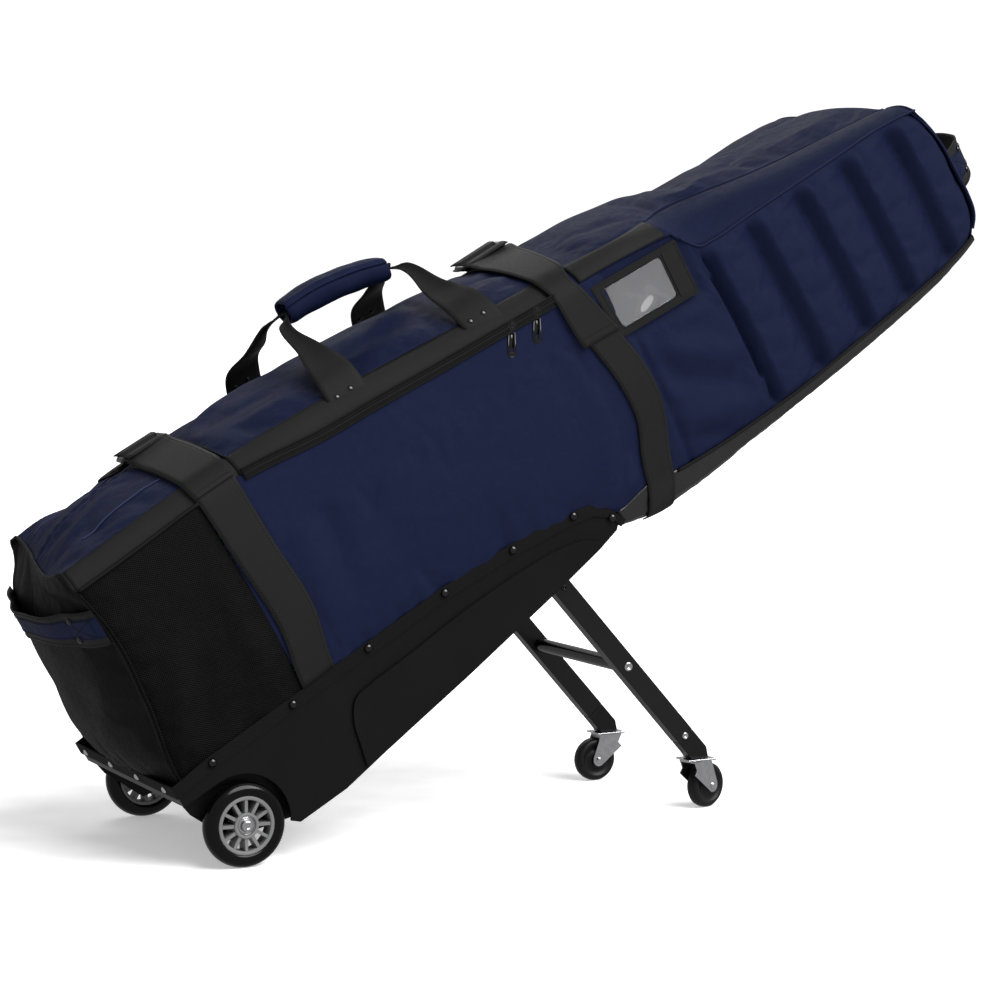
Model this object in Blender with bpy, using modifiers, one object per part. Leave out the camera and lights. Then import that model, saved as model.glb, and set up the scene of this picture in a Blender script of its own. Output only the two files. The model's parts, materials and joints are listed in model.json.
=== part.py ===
"""Wheeled golf travel case, standing on two fixed wheels and two folding legs with casters.

Run with: blender --background --python part.py
Units are metres, +Z up. X runs from the base (the fixed wheels) to the hood (the club heads), and
the whole case leans back by TILT. The case is drawn in its own frame: u along it, y across it and
v square to both, with the origin at the middle of the main axle. A leg is drawn from its pivot
down its own -Z, and a caster from the middle of its top plate down its own -Z.
"""

import math

import bmesh
import bpy
from mathutils import Matrix, Vector

# Driving dimensions -----------------------------------------------------------------------------

TILT = math.radians(30)  # lean of the case
AXLE_X = -0.4290  # puts the middle of the overall box on x = 0
GAP = 0.0003  # left between faces that touch
JOINT = 0.0015  # left between fabric panels that meet at an edge
CLOTH = 0.0025  # laminated panel fabric
WEB = 0.0016  # webbing

WHEEL_R = 0.050
WHEEL_WIDTH = 0.024
WHEEL_Y = 0.1675  # middle of the main wheels
HUB_R = 0.0342
BEARING_R = 0.011
AXLE_R = 0.004

TRAY_HALF = 0.168
TRAY_WALL = 0.0025
DECK_V = 0.060  # underside of the tray's floor
DECK = 0.003
ARCH_R = 0.0595
BASE_U = -0.050
NOSE_U = 0.600

PIVOT_U = 0.500
PIVOT_V = 0.030
PIVOT_R = 0.006
LEG_SPLAY = math.radians(11.9)  # between the legs and the case's own square
LEG_Y = 0.116
LEG_DEPTH = 0.026
LEG_WIDTH = 0.019
LEG_END = 0.308  # from the pivot to the foot
CROSS_AT = 0.180  # from the pivot to the cross tube
CASTER_X = 0.2273  # level distance from the pivot to the swivel axis
CASTER_HEIGHT = 0.066
CASTER_R = 0.029
CASTER_TRAIL = 0.018
CASTER_YAW = {"near": math.radians(17), "far": math.radians(180)}

LID_START = 0.201
LID_END = 0.652
ZIP_START_V = 0.3507
ZIP_END_V = 0.3198
LOWER_STRAP = (0.139, 0.192)
UPPER_STRAP = (0.662, 0.716)
HOOD_U = 0.700
HOOD_END_U = 1.268
STRAP_LIFT = 0.0010  # webbing above the cloth
LONGEST_STEP = 0.060  # between the rows of a panel

# Lines along the case, as (u, value), straight between the points ------------------------------

SIDE_FOOT = ((-0.034, 0.066), (0.520, 0.066), (0.592, 0.044), (0.850, 0.040), (1.000, 0.050),
             (1.190, 0.070), (HOOD_END_U, 0.080))
SIDE_TOP = ((-0.034, 0.340), (0.140, 0.350), (LID_START, ZIP_START_V), (LID_END, ZIP_END_V),
            (0.830, 0.309), (0.860, 0.272), (1.180, 0.270), (1.240, 0.262), (HOOD_END_U, 0.250))
SHOULDER_Y = ((-0.034, 0.150), (LID_END, 0.147), (0.830, 0.135), (0.860, 0.108),
              (HOOD_END_U, 0.100))
SHOULDER_V = ((-0.034, 0.364), (0.140, 0.372), (LID_START, 0.373), (0.380, 0.366),
              (0.520, 0.354), (LID_END, 0.344), (0.830, 0.328), (0.860, 0.324), (0.935, 0.312),
              (1.045, 0.293), (1.180, 0.277), (1.240, 0.268), (HOOD_END_U, 0.254))
CROWN_V = ((-0.034, 0.368), (0.060, 0.379), (0.140, 0.385), (LID_START, 0.388), (0.380, 0.387),
           (0.520, 0.377), (LID_END, 0.360), (0.740, 0.352), (0.830, 0.345), (0.860, 0.336),
           (0.935, 0.320), (1.045, 0.303), (1.180, 0.284), (1.240, 0.273), (HOOD_END_U, 0.258))
TOP_HALF = ((-0.034, 0.1655), (0.060, 0.168), (1.180, 0.168), (HOOD_END_U, 0.160))
FOOT_HALF = ((-0.034, 0.1645), (0.592, 0.1645), (0.640, 0.167), (1.180, 0.167),
             (HOOD_END_U, 0.158))
BULGE = ((-0.034, 0.001), (0.060, 0.010), (0.170, 0.016), (0.400, 0.014), (0.560, 0.012),
         (LID_END, 0.006), (0.860, 0.004), (HOOD_END_U, 0.0))
UNDERSIDE_V = ((0.601, 0.021), (0.850, 0.020), (1.000, 0.030), (1.190, 0.050),
               (HOOD_END_U, 0.062))
RIM_V = ((BASE_U, 0.080), (0.004, 0.085), (0.121, 0.087), (0.351, 0.091), (0.454, 0.086),
         (0.530, 0.078), (0.569, 0.070), (0.590, 0.055), (NOSE_U, 0.040))
TRAY_FOOT = ((0.060, -0.039), (0.128, -0.039), (0.192, -0.030), (0.332, -0.013), (0.486, 0.009),
             (0.558, 0.021), (0.590, 0.029))

# Colours, as linear (red, green, blue), roughness and metallic ---------------------------------

FINISHES = {
    "navy_fabric": ((0.010, 0.012, 0.045), 0.75, 0.0),
    "black_fabric": ((0.008, 0.008, 0.008), 0.80, 0.0),
    "webbing": ((0.012, 0.012, 0.012), 0.70, 0.0),
    "coated_cloth": ((0.012, 0.012, 0.013), 0.30, 0.0),
    "black_plastic": ((0.007, 0.007, 0.007), 0.45, 0.0),
    "foam": ((0.060, 0.060, 0.065), 0.90, 0.0),
    "polyurethane": ((0.004, 0.004, 0.004), 0.18, 0.0),
    "hub_plastic": ((0.110, 0.110, 0.110), 0.45, 0.0),
    "bearing_steel": ((0.550, 0.550, 0.560), 0.30, 1.0),
    "black_metal": ((0.006, 0.006, 0.006), 0.38, 0.0),
    "zinc": ((0.620, 0.620, 0.630), 0.30, 1.0),
    "caster_rubber": ((0.010, 0.010, 0.010), 0.60, 0.0),
    "clear_vinyl": ((0.500, 0.500, 0.500), 0.12, 0.0),
}


# Helpers ----------------------------------------------------------------------------------------

def clear_scene():
    for old in list(bpy.data.objects):
        bpy.data.objects.remove(old, do_unlink=True)


def new_collection(name):
    found = bpy.data.collections.new(name)
    bpy.context.scene.collection.children.link(found)
    return found


def finish(name):
    """The material of this name, made the first time it is asked for."""
    known = bpy.data.materials.get(name)
    if known:
        return known
    colour, roughness, metallic = FINISHES[name]
    made = bpy.data.materials.new(name)
    made.use_nodes = True
    made.diffuse_color = (*colour, 1)
    shader = made.node_tree.nodes["Principled BSDF"]
    shader.inputs["Base Color"].default_value = (*colour, 1)
    shader.inputs["Roughness"].default_value = roughness
    shader.inputs["Metallic"].default_value = metallic
    return made


def add(name, mesh, material, parent):
    made = bpy.data.objects.new(name, mesh)
    PARTS.objects.link(made)
    mesh.materials.clear()
    mesh.materials.append(finish(material))
    made.parent = parent
    return made


def as_tool(obj):
    """Turns an object into a cutter or a piece that is joined to another one."""
    PARTS.objects.unlink(obj)
    CUTTERS.objects.link(obj)
    obj.hide_render = True
    obj.display_type = "WIRE"
    return obj


def combine(target, tool, operation):
    change = target.modifiers.new(operation.title(), "BOOLEAN")
    change.operation = operation
    change.object = as_tool(tool)
    return target


def frame(name, parent, location, turn_about_y=0.0, turn_about_z=0.0):
    made = bpy.data.objects.new(name, None)
    PARTS.objects.link(made)
    made.parent = parent
    made.location = location
    made.rotation_euler = (0, turn_about_y, turn_about_z)
    return made


def hang_on(obj, pivot):
    """Parents a piece that is drawn in the pivot's parent frame, without moving it."""
    obj.parent = pivot
    obj.matrix_parent_inverse = Matrix.Translation(-pivot.location)
    return obj


def along(line, u):
    """The value at u on a line of (u, value) points."""
    for (u0, low), (u1, high) in zip(line, line[1:]):
        if u <= u1:
            return low + (high - low) * max(0.0, u - u0) / (u1 - u0)
    return line[-1][1]


def stations(start, end, *lines):
    """The u values of a panel: its ends, each bend of the lines, and no long step between them."""
    bends = {u for line in lines for u, _ in line if start + 0.004 < u < end - 0.004}
    found = [start]
    for u in [*sorted(bends), end]:
        steps = math.ceil((u - found[-1]) / LONGEST_STEP)
        found += [found[-1] + (u - found[-1]) * (i + 1) / steps for i in range(steps)]
    return found


def arc(centre, radius, start, end, steps):
    turn = math.radians(end - start)
    angles = [math.radians(start) + turn * i / steps for i in range(steps + 1)]
    return [(centre[0] + radius * math.cos(a), centre[1] + radius * math.sin(a)) for a in angles]


def prism(name, loops, y0, y1, material, parent):
    """Flat outlines in (x, z), the first one outside and the rest holes, from y0 to y1."""
    curve = bpy.data.curves.new(name, "CURVE")
    curve.dimensions = "2D"
    curve.fill_mode = "BOTH"
    curve.extrude = (y1 - y0) / 2
    for loop in loops:
        spline = curve.splines.new("POLY")
        spline.points.add(len(loop) - 1)
        for point, (x, z) in zip(spline.points, loop):
            point.co = (x, z, 0, 1)
        spline.use_cyclic_u = True
    flat = bpy.data.objects.new(name, curve)
    PARTS.objects.link(flat)
    graph = bpy.context.evaluated_depsgraph_get()
    mesh = bpy.data.meshes.new_from_object(flat.evaluated_get(graph))
    bpy.data.objects.remove(flat, do_unlink=True)
    mesh.name = name
    mesh.transform(Matrix.Translation((0, (y0 + y1) / 2, 0)) @ Matrix.Rotation(math.pi / 2, 4, "X"))
    shape = bmesh.new()
    shape.from_mesh(mesh)
    bmesh.ops.remove_doubles(shape, verts=shape.verts, dist=1e-6)
    bmesh.ops.recalc_face_normals(shape, faces=shape.faces)
    shape.to_mesh(mesh)
    shape.free()
    return add(name, mesh, material, parent)


def box(name, low, high, material, parent):
    shape = bmesh.new()
    bmesh.ops.create_cube(shape, size=1)
    low, high = Vector(low), Vector(high)
    size = high - low
    place = Matrix.Translation((low + high) / 2) @ Matrix.Diagonal((*size, 1))
    bmesh.ops.transform(shape, matrix=place, verts=shape.verts)
    mesh = bpy.data.meshes.new(name)
    shape.to_mesh(mesh)
    shape.free()
    return add(name, mesh, material, parent)


def rod(name, radius, start, end, material, parent, sides=24):
    """A round bar between two points."""
    start, end = Vector(start), Vector(end)
    shape = bmesh.new()
    length = (end - start).length
    bmesh.ops.create_cone(
        shape, cap_ends=True, segments=sides, radius1=radius, radius2=radius, depth=length
    )
    turn = (end - start).to_track_quat("Z", "Y").to_matrix().to_4x4()
    place = Matrix.Translation((start + end) / 2) @ turn
    bmesh.ops.transform(shape, matrix=place, verts=shape.verts)
    mesh = bpy.data.meshes.new(name)
    shape.to_mesh(mesh)
    shape.free()
    mesh.shade_smooth()
    mesh.set_sharp_from_angle(angle=math.radians(40))
    return add(name, mesh, material, parent)


def turned(name, profile, centre, material, parent, closed=True, steps=40, flip=False):
    """A profile of (radius, y) points turned about the line through centre along Y."""
    mesh = bpy.data.meshes.new(name)
    edges = [(i, i + 1) for i in range(len(profile) - 1)]
    if closed:
        edges.append((len(profile) - 1, 0))
    side = -1 if flip else 1
    mesh.from_pydata([(r, 0, side * y) for r, y in profile], edges, [])
    made = add(name, mesh, material, parent)
    made.location = centre
    made.rotation_euler = (math.pi / 2, 0, 0)
    screw = made.modifiers.new("Turn", "SCREW")
    screw.steps = screw.render_steps = steps
    screw.use_merge_vertices = True
    screw.merge_threshold = 1e-5
    screw.use_smooth_shade = True
    screw.use_normal_flip = flip
    return made


def sheet(name, rows, thickness, material, parent, outside=False):
    """A panel through rows of points. Its cloth lies inside the rows, or outside them."""
    wide = len(rows[0])
    mesh = bpy.data.meshes.new(name)
    faces = [
        (r * wide + c, (r + 1) * wide + c, (r + 1) * wide + c + 1, r * wide + c + 1)
        for r in range(len(rows) - 1)
        for c in range(wide - 1)
    ]
    mesh.from_pydata([point for row in rows for point in row], [], faces)
    made = add(name, mesh, material, parent)
    solid = made.modifiers.new("Cloth", "SOLIDIFY")
    solid.thickness = thickness
    solid.offset = 1 if outside else -1
    solid.use_even_offset = True
    return made


# The case's cross-section ----------------------------------------------------------------------

def near_side(u, bulge=1.0):
    """Points up the near side at u, as (y, v)."""
    foot, top = along(SIDE_FOOT, u), along(SIDE_TOP, u)
    low_half, top_half = along(FOOT_HALF, u), along(TOP_HALF, u)
    swell = along(BULGE, u) * bulge
    start = foot + 0.030
    points = [(-low_half, foot), (-low_half, start)]
    for share, fullness in ((0.22, 0.8), (0.48, 1.0), (0.76, 0.55)):
        half = low_half + (top_half - low_half) * share + swell * fullness
        points.append((-half, start + (top - start) * share))
    points.append((-top_half, top))
    return points


def near_shoulder(u):
    """The two ends of the slope between the side and the top, as (y, v)."""
    return [
        (-along(TOP_HALF, u), along(SIDE_TOP, u)),
        (-along(SHOULDER_Y, u), along(SHOULDER_V, u)),
    ]


def top(u):
    """Points across the top at u, from the near shoulder to the far one."""
    half, low, high = along(SHOULDER_Y, u), along(SHOULDER_V, u), along(CROWN_V, u)
    between = low + (high - low) * 0.75
    return [(-half, low), (-half / 2, between), (0, high), (half / 2, between), (half, low)]


def mirrored(points):
    return [(-y, v) for y, v in reversed(points)]


def trimmed(points, start=0.0, end=0.0):
    """The same line with a length taken off each end."""
    line = list(points)
    for from_start, length in ((True, start), (False, end)):
        if not from_start:
            line.reverse()
        left = length
        while left > 0:
            a, b = Vector(line[0]), Vector(line[1])
            span = (b - a).length
            if span > left:
                line[0] = tuple(a + (b - a) * (left / span))
                break
            line.pop(0)
            left -= span
        if not from_start:
            line.reverse()
    return line


def lifted(points, height):
    """The line moved outwards from the case by a height."""
    moved = []
    for i, point in enumerate(points):
        before = Vector(points[max(i - 1, 0)])
        after = Vector(points[min(i + 1, len(points) - 1)])
        here = Vector(point)
        first = (here - before).normalized() if i else (after - here).normalized()
        last = (after - here).normalized() if i < len(points) - 1 else first
        outward = Vector((-first.y - last.y, first.x + last.x)).normalized()
        square = Vector((-first.y, first.x))
        moved.append(tuple(here + outward * (height / max(outward.dot(square), 0.5))))
    return moved


def crosswise(points, y_start, y_end):
    """The part of a line that runs across the case, between two values of y."""
    kept = []
    for (y0, v0), (y1, v1) in zip(points, points[1:]):
        for y in (y0, y_start, y_end, y1):
            if min(y0, y1) <= y <= max(y0, y1) and y_start <= y <= y_end and y1 != y0:
                kept.append((y, v0 + (v1 - v0) * (y - y0) / (y1 - y0)))
    return sorted(set(kept))


def at(u, points):
    return [(u, y, v) for y, v in points]


# The moulded tray -------------------------------------------------------------------------------

def tray():
    outline = [(BASE_U, 0.058), *RIM_V, *reversed(TRAY_FOOT)]
    made = prism("tray", [outline], -TRAY_HALF, TRAY_HALF, "black_plastic", CASE)
    inner = TRAY_HALF - TRAY_WALL
    deck_end = (NOSE_U - 0.006, DECK_V - 0.029)
    above = [(BASE_U + 0.003, DECK_V + DECK), (0.528, DECK_V + DECK),
             (deck_end[0], deck_end[1] + DECK), (NOSE_U + 0.05, deck_end[1] + DECK),
             (NOSE_U + 0.05, 0.2), (BASE_U + 0.003, 0.2)]
    below = [(BASE_U - 0.01, DECK_V), (0.528, DECK_V), (deck_end[0] - 0.009, deck_end[1] + 0.004),
             (0.575, -0.1), (BASE_U - 0.01, -0.1)]
    combine(made, prism("tray_above", [above], -inner, inner, "black_plastic", CASE), "DIFFERENCE")
    combine(made, prism("tray_below", [below], -inner, inner, "black_plastic", CASE), "DIFFERENCE")
    arch = [*arc((0, 0), ARCH_R, -55, 90, 14), (BASE_U - 0.02, ARCH_R), (BASE_U - 0.02, -0.06)]
    combine(made, prism("wheel_arches", [arch], -0.2, 0.2, "black_plastic", CASE), "DIFFERENCE")
    well = [(BASE_U + 0.002, DECK_V + 0.001), (-0.044, 0.040), (-0.018, -0.014), (0.010, -0.020),
            (0.064, -0.036), (0.064, DECK_V + 0.001)]
    for side in (-1, 1):
        y_in, y_out = sorted((side * 0.1475, side * 0.1505))
        wall = prism("well_wall", [well], y_in, y_out, "black_plastic", CASE)
        combine(made, wall, "UNION")
        y_in, y_out = sorted((side * 0.149, side * 0.1665))
        closing = box("well_end", (0.0612, y_in, -0.034), (0.064, y_out, DECK_V + 0.001),
                      "black_plastic", CASE)
        combine(made, closing, "UNION")
        boss = rod("axle_boss", 0.011, (0, side * 0.136, 0), (0, side * 0.1535, 0),
                   "black_plastic", CASE)
        combine(made, boss, "UNION")
        bore = rod("axle_bore", AXLE_R + GAP, (0, side * 0.12, 0), (0, side * 0.2, 0),
                   "black_plastic", CASE)
        combine(made, bore, "DIFFERENCE")
    return made


def trim_strip():
    """The riveted strip over the tray's rim: along both sides and across the base."""
    upper = [(u, v + 0.008) for u, v in RIM_V[:-1]]
    lower = [(u, v - 0.008) for u, v in RIM_V[:-1]]
    tip = [(NOSE_U + 0.006, 0.034), (NOSE_U - 0.004, 0.030)]
    outline = [*upper, *tip, *reversed(lower)]
    outline[0] = (BASE_U - 0.0015, upper[0][1] - GAP)
    outline[-1] = (BASE_U - 0.0015, lower[0][1] + GAP)
    face = TRAY_HALF + GAP
    made = prism("trim_strip", [outline], -face - 0.002, -face, "webbing", CASE)
    far = prism("far_trim", [outline], face, face + 0.002, "webbing", CASE)
    end = box("end_trim", (BASE_U - 0.0025, -face - 0.0022, 0.072),
              (BASE_U - GAP, face + 0.0022, 0.088), "webbing", CASE)
    combine(made, end, "UNION")
    return combine(made, far, "UNION")


def leg_bracket():
    """The channel under the deck that carries the leg pivot and the lock lever."""
    roof = box("leg_bracket", (0.450, -0.137, 0.0572), (0.520, 0.137, DECK_V - GAP),
               "black_metal", CASE)
    ear = [(0.482, 0.058), *arc((PIVOT_U, PIVOT_V), 0.014, 180, 360, 10),
           (0.518, 0.058)]
    small_ear = [(0.452, 0.058), (0.452, 0.040), (0.457, 0.032), (0.467, 0.032), (0.472, 0.040),
                 (0.472, 0.058)]
    for side in (-1, 1):
        for name, outline, y_in, y_out in (
            ("pivot_ear", ear, 0.1335, 0.1365), ("lock_ear", small_ear, 0.0085, 0.0110)
        ):
            y0, y1 = sorted((side * y_in, side * y_out))
            combine(roof, prism(name, [outline], y0, y1, "black_metal", CASE), "UNION")
    for name, u, v, radius in (
        ("pivot_bore", PIVOT_U, PIVOT_V, PIVOT_R), ("lock_bore", 0.462, 0.040, 0.003)
    ):
        bore = rod(name, radius + GAP, (u, -0.2, v), (u, 0.2, v), "black_metal", CASE)
        combine(roof, bore, "DIFFERENCE")
    return roof


def lock_lever():
    """The sprung lever that holds the leg shaft's collar until a finger pulls it."""
    pivot = frame("lock_pivot", CASE, (0.462, 0, 0.040))
    outline = [(0.466, 0.046), (0.492, 0.041), (0.491, 0.037), (0.468, 0.034), (0.440, 0.016),
               (0.424, 0.012), (0.424, 0.018), (0.437, 0.022), (0.456, 0.044)]
    made = prism("lock_lever", [outline], -0.005, 0.005, "black_metal", CASE)
    pin = rod("lock_pin", 0.003, (0.462, -0.013, 0.040), (0.462, 0.013, 0.040),
              "black_metal", CASE)
    combine(made, pin, "UNION")
    hang_on(pin, pivot)
    return hang_on(made, pivot)


# The fabric body --------------------------------------------------------------------------------

def side_panels():
    """Three panels a side: the black base, the navy middle and the padded hood."""
    runs = (
        ("base_side", -0.034, 0.140 - GAP, "black_fabric"),
        ("main_side", 0.140, HOOD_U - GAP, "navy_fabric"),
        ("hood_side", HOOD_U, HOOD_END_U, "navy_fabric"),
    )
    for name, start, end, material in runs:
        us = stations(start, end, SIDE_FOOT, SIDE_TOP, BULGE)
        rows = [trimmed(near_side(u), 0, JOINT) for u in us]
        sheet(f"near_{name}", [at(u, row) for u, row in zip(us, rows)], CLOTH, material, CASE)
        sheet(f"far_{name}", [at(u, mirrored(row)) for u, row in zip(us, rows)], CLOTH, material,
              CASE)


def whole_top(u, gap):
    """Shoulder, top and far shoulder in one line."""
    line = [*near_shoulder(u)[:1], *top(u), mirrored(near_shoulder(u))[-1]]
    return trimmed(line, gap, gap)


def top_panels():
    base_us = stations(-0.034, LID_START - 0.002, CROWN_V)
    sheet("base_top", [at(u, whole_top(u, JOINT)) for u in base_us], CLOTH, "navy_fabric", CASE)
    hood_us = stations(LID_END + 0.002, HOOD_END_U, CROWN_V, SIDE_TOP)
    sheet("hood_top", [at(u, whole_top(u, 2 * JOINT)) for u in hood_us], CLOTH, "navy_fabric", CASE)


def lid():
    """The flap over the bag, with the near band that carries the zip and the handle."""
    hinge = frame("lid_hinge", CASE, (LID_START, along(TOP_HALF, LID_START), ZIP_START_V))
    us = stations(LID_START, LID_END, CROWN_V, SHOULDER_V)
    rows = []
    for u in us:
        far = trimmed(mirrored(near_shoulder(u)), 0, JOINT)
        rows.append(at(u, [*trimmed(top(u), JOINT, 0), far[-1]]))
    hang_on(sheet("lid_panel", rows, CLOTH, "navy_fabric", CASE), hinge)
    band = [at(u, trimmed(near_shoulder(u), JOINT + 0.001, JOINT)) for u in us]
    hang_on(sheet("lid_band", band, CLOTH, "webbing", CASE), hinge)
    return hinge


def base_end():
    """The bowed black panel behind the base."""
    low, high = 0.066, along(SHOULDER_V, -0.034) - 0.004
    rows = []
    for i in range(6):
        v = low + (high - low) * i / 5
        half = along(FOOT_HALF, -0.034) - 0.0042
        if i == 5:
            half = along(SHOULDER_Y, -0.034) - 0.004
        row = []
        for j in range(9):
            share = -1 + j / 4
            bow = 0.013 * (1 - share * share)
            row.append((-0.034 - bow * math.sin(math.pi * (0.25 + 0.6 * i / 5)), share * half, v))
        rows.append(row)
    return sheet("base_end", rows, CLOTH, "black_fabric", CASE)


def hood_end():
    low, high = 0.084, along(SHOULDER_V, HOOD_END_U) - 0.006
    rows = []
    for i in range(6):
        v = low + (high - low) * i / 5
        half = 0.153 if i < 5 else 0.098
        row = []
        for j in range(9):
            share = 1 - j / 4
            bow = 0.016 * (1 - share * share) * math.sin(math.pi * (0.15 + 0.7 * i / 5))
            row.append((HOOD_END_U - 0.001 + bow, share * half, v))
        rows.append(row)
    return sheet("hood_end", rows, CLOTH, "navy_fabric", CASE)


def hood_underside():
    """The coated cloth under the hood, turned up a little at both sides."""
    rows = []
    for u in stations(NOSE_U + 0.001, HOOD_END_U - 0.002, UNDERSIDE_V, SIDE_FOOT):
        half, low = along(FOOT_HALF, u), along(UNDERSIDE_V, u)
        edge = along(SIDE_FOOT, u) - CLOTH
        near = [(-half, edge), (-half + 0.005, low + 0.006), (-half + 0.020, low)]
        rows.append(at(u, list(reversed([*near, *mirrored(near)]))))
    return sheet("hood_underside", rows, CLOTH, "coated_cloth", CASE)


def linings():
    """The pad on the tray's floor and the foam inside the hood's sides."""
    box("floor_pad", (0.0, -0.155, DECK_V + DECK + GAP), (0.520, 0.155, 0.0715), "foam", CASE)
    us = stations(0.868, 1.256, SIDE_FOOT, SIDE_TOP)
    rows = [lifted(trimmed(near_side(u)[1:], 0, 0.012), -CLOTH - GAP) for u in us]
    sheet("near_foam_pad", [at(u, row) for u, row in zip(us, rows)], 0.009, "foam", CASE)
    sheet("far_foam_pad", [at(u, mirrored(row)) for u, row in zip(us, rows)], 0.009, "foam", CASE)


# Zip, straps, handles and window ---------------------------------------------------------------

def zip_v(u):
    return ZIP_START_V + (ZIP_END_V - ZIP_START_V) * (u - LID_START) / (LID_END - LID_START)


def zipper():
    """The coil along the near edge, and two sliders with pulls that hang straight down."""
    face = -0.168 - STRAP_LIFT
    outline = [(LID_START, zip_v(LID_START) - 0.004), (LID_START, zip_v(LID_START) + 0.003),
               (LID_END, zip_v(LID_END) + 0.003), (LID_END, zip_v(LID_END) - 0.004)]
    prism("zip_coil", [outline], face - 0.0014, face, "webbing", CASE)
    slope = math.atan2(ZIP_END_V - ZIP_START_V, LID_END - LID_START)
    for name, u in (("lower", 0.584), ("upper", 0.622)):
        place = frame(f"{name}_zip_travel", CASE, (u, face - 0.0017, zip_v(u)), -slope)
        body = [(-0.010, -0.0045), (0.010, -0.0045), (0.010, 0.0045), (-0.010, 0.0045)]
        slider = prism(f"{name}_zip_slider", [body], -0.0035, 0, "black_metal", place)
        neck = prism("slider_neck", [arc((0, 0), 0.0028, 0, 330, 11)], -0.0098, -0.003,
                     "black_metal", place)
        combine(slider, neck, "UNION")
        hang = frame(f"{name}_zip_hang", place, (0, 0, 0), TILT + slope)
        ring = arc((0, 0), 0.0062, 35, 325, 14)
        tab = [*arc((0, 0), 0.0062, -60, 240, 14), (-0.0045, -0.034),
               *arc((0, -0.034), 0.0045, 180, 360, 6)]
        eye = arc((0, 0), 0.0032, 0, 338, 15)
        slot = [(-0.0022, -0.010), (0.0022, -0.010), (0.0024, -0.033), (-0.0024, -0.033)]
        prism(f"{name}_zip_pull", [tab, eye, slot], -0.0095, -0.0075, "black_metal", hang)


def strap_line(u):
    """The line over the near side, the top and the far side that a strap follows."""
    return [*near_side(u)[2:], *near_shoulder(u)[1:], *top(u)[1:],
            *mirrored(near_shoulder(u))[1:], *mirrored(near_side(u)[2:])[1:]]


def cinch_straps():
    """Two straps over the case. Each loops through a ring and folds back as a flap."""
    for name, (start, end), ring_y, drop in (
        ("lower", LOWER_STRAP, 0.006, 0.004), ("upper", UPPER_STRAP, 0.012, 0.095)
    ):
        us = stations(start, end, SIDE_TOP, SIDE_FOOT, CROWN_V, BULGE)
        lines = [lifted(strap_line(u), STRAP_LIFT) for u in us]
        near = [line[:7] + [crosswise(line, -0.08, ring_y - 0.004)[-1]] for line in lines]
        far = [[crosswise(line, ring_y + 0.034, 0.14)[0]] + line[-6:] for line in lines]
        sheet(f"{name}_strap", [at(u, row) for u, row in zip(us, near)], WEB, "webbing", CASE, True)
        sheet(f"{name}_short_strap", [at(u, row) for u, row in zip(us, far)], WEB, "webbing",
              CASE, True)
        strap_ring(name, start, end, ring_y)
        pivot_v = along(CROWN_V, (start + end) / 2) + 0.0045
        pivot = frame(f"{name}_flap_hinge", CASE, ((start + end) / 2, ring_y - 0.004, pivot_v))
        rows = []
        for u, line in zip(us, lines):
            over = lifted(line, WEB + STRAP_LIFT)
            shoulder = over[3:7] + [crosswise(over, -0.08, ring_y - 0.006)[-1]]
            below = (Vector(shoulder[0]) - Vector(shoulder[1])).length
            rows.append(at(u, trimmed(over[2:7] + shoulder[4:], 0, 0) if drop > below
                           else trimmed(shoulder, below - drop, 0)))
        flap = sheet(f"{name}_flap", rows, WEB, "webbing", CASE, True)
        hang_on(flap, pivot)


def strap_ring(name, start, end, ring_y):
    """The moulded two-bar ring that a strap turns round."""
    high = along(CROWN_V, (start + end) / 2)
    low = (start - 0.004, ring_y, high + 0.0035)
    ring = box(f"{name}_strap_ring", low, (end + 0.004, ring_y + 0.030, high + 0.0095),
               "black_plastic", CASE)
    hole = box("ring_hole", (start + 0.001, ring_y + 0.006, high - 0.01),
               (end - 0.001, ring_y + 0.024, high + 0.02), "black_plastic", CASE)
    return combine(ring, hole, "DIFFERENCE")


def carry_handle(hinge):
    """The padded grip over the lid, and the webbing that comes up to each of its ends."""
    travel = frame("grip_travel", hinge, Vector((0.4725, 0, 0.437)) - hinge.location)
    rows = []
    for u, v, wide, high in ((0.402, 0.4455, 0.019, 0.013), (0.437, 0.446, 0.020, 0.0145),
                             (0.4725, 0.4425, 0.0205, 0.015), (0.508, 0.436, 0.020, 0.0145),
                             (0.543, 0.4265, 0.019, 0.013)):
        ring = [(wide * math.cos(a), v + high * math.sin(a))
                for a in (math.radians(90 - 29.5 * i) for i in range(13))]
        rows.append([(u - 0.4725, y, v - 0.437) for y, v in ring])
    grip = sheet("grip", rows, 0.006, "navy_fabric", travel)
    grip.modifiers["Cloth"].offset = -1
    for name, top_u, foot_u, out in (("lower", 0.3975, 0.365, -1), ("upper", 0.5475, 0.562, 1)):
        rows = []
        for y, v, shift, half in ((-0.1605, 0.0075, 1, 0.0265), (-0.151, 0.0065, 1, 0.0265),
                                  (-0.010, 0, 0, 0.009), (0.010, 0, 0, 0.009),
                                  (0.151, 0.0065, 1, 0.0265), (0.1605, 0.0075, 1, 0.0265)):
            middle = foot_u if shift else top_u + out * half
            row = []
            for edge in (-half, half):
                u = middle + edge
                surface = crosswise(whole_top(u, 0), y - 1e-4, y + 1e-4)[0][1] if shift else 0.444
                if not shift and out > 0:
                    surface = 0.427
                row.append((u, y, surface + v))
            rows.append(row)
        rows = [[row[0] for row in rows], [row[1] for row in rows]]
        webbing = sheet(f"{name}_handle_webbing", rows, WEB, "webbing", CASE, True)
        hang_on(webbing, hinge)


def bowed_handle(name, outline, v_low, v_high, direction):
    """A webbing handle across an end panel, as (u, y) points from its near end to the middle."""
    whole = outline + [(u, -y) for u, y in reversed(outline[:-1])]
    if direction > 0:
        whole.reverse()
    rows = [[(u, y, v) for u, y in whole] for v in (v_low, v_high)]
    return sheet(name, rows, 0.003, "webbing", CASE, True)


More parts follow.
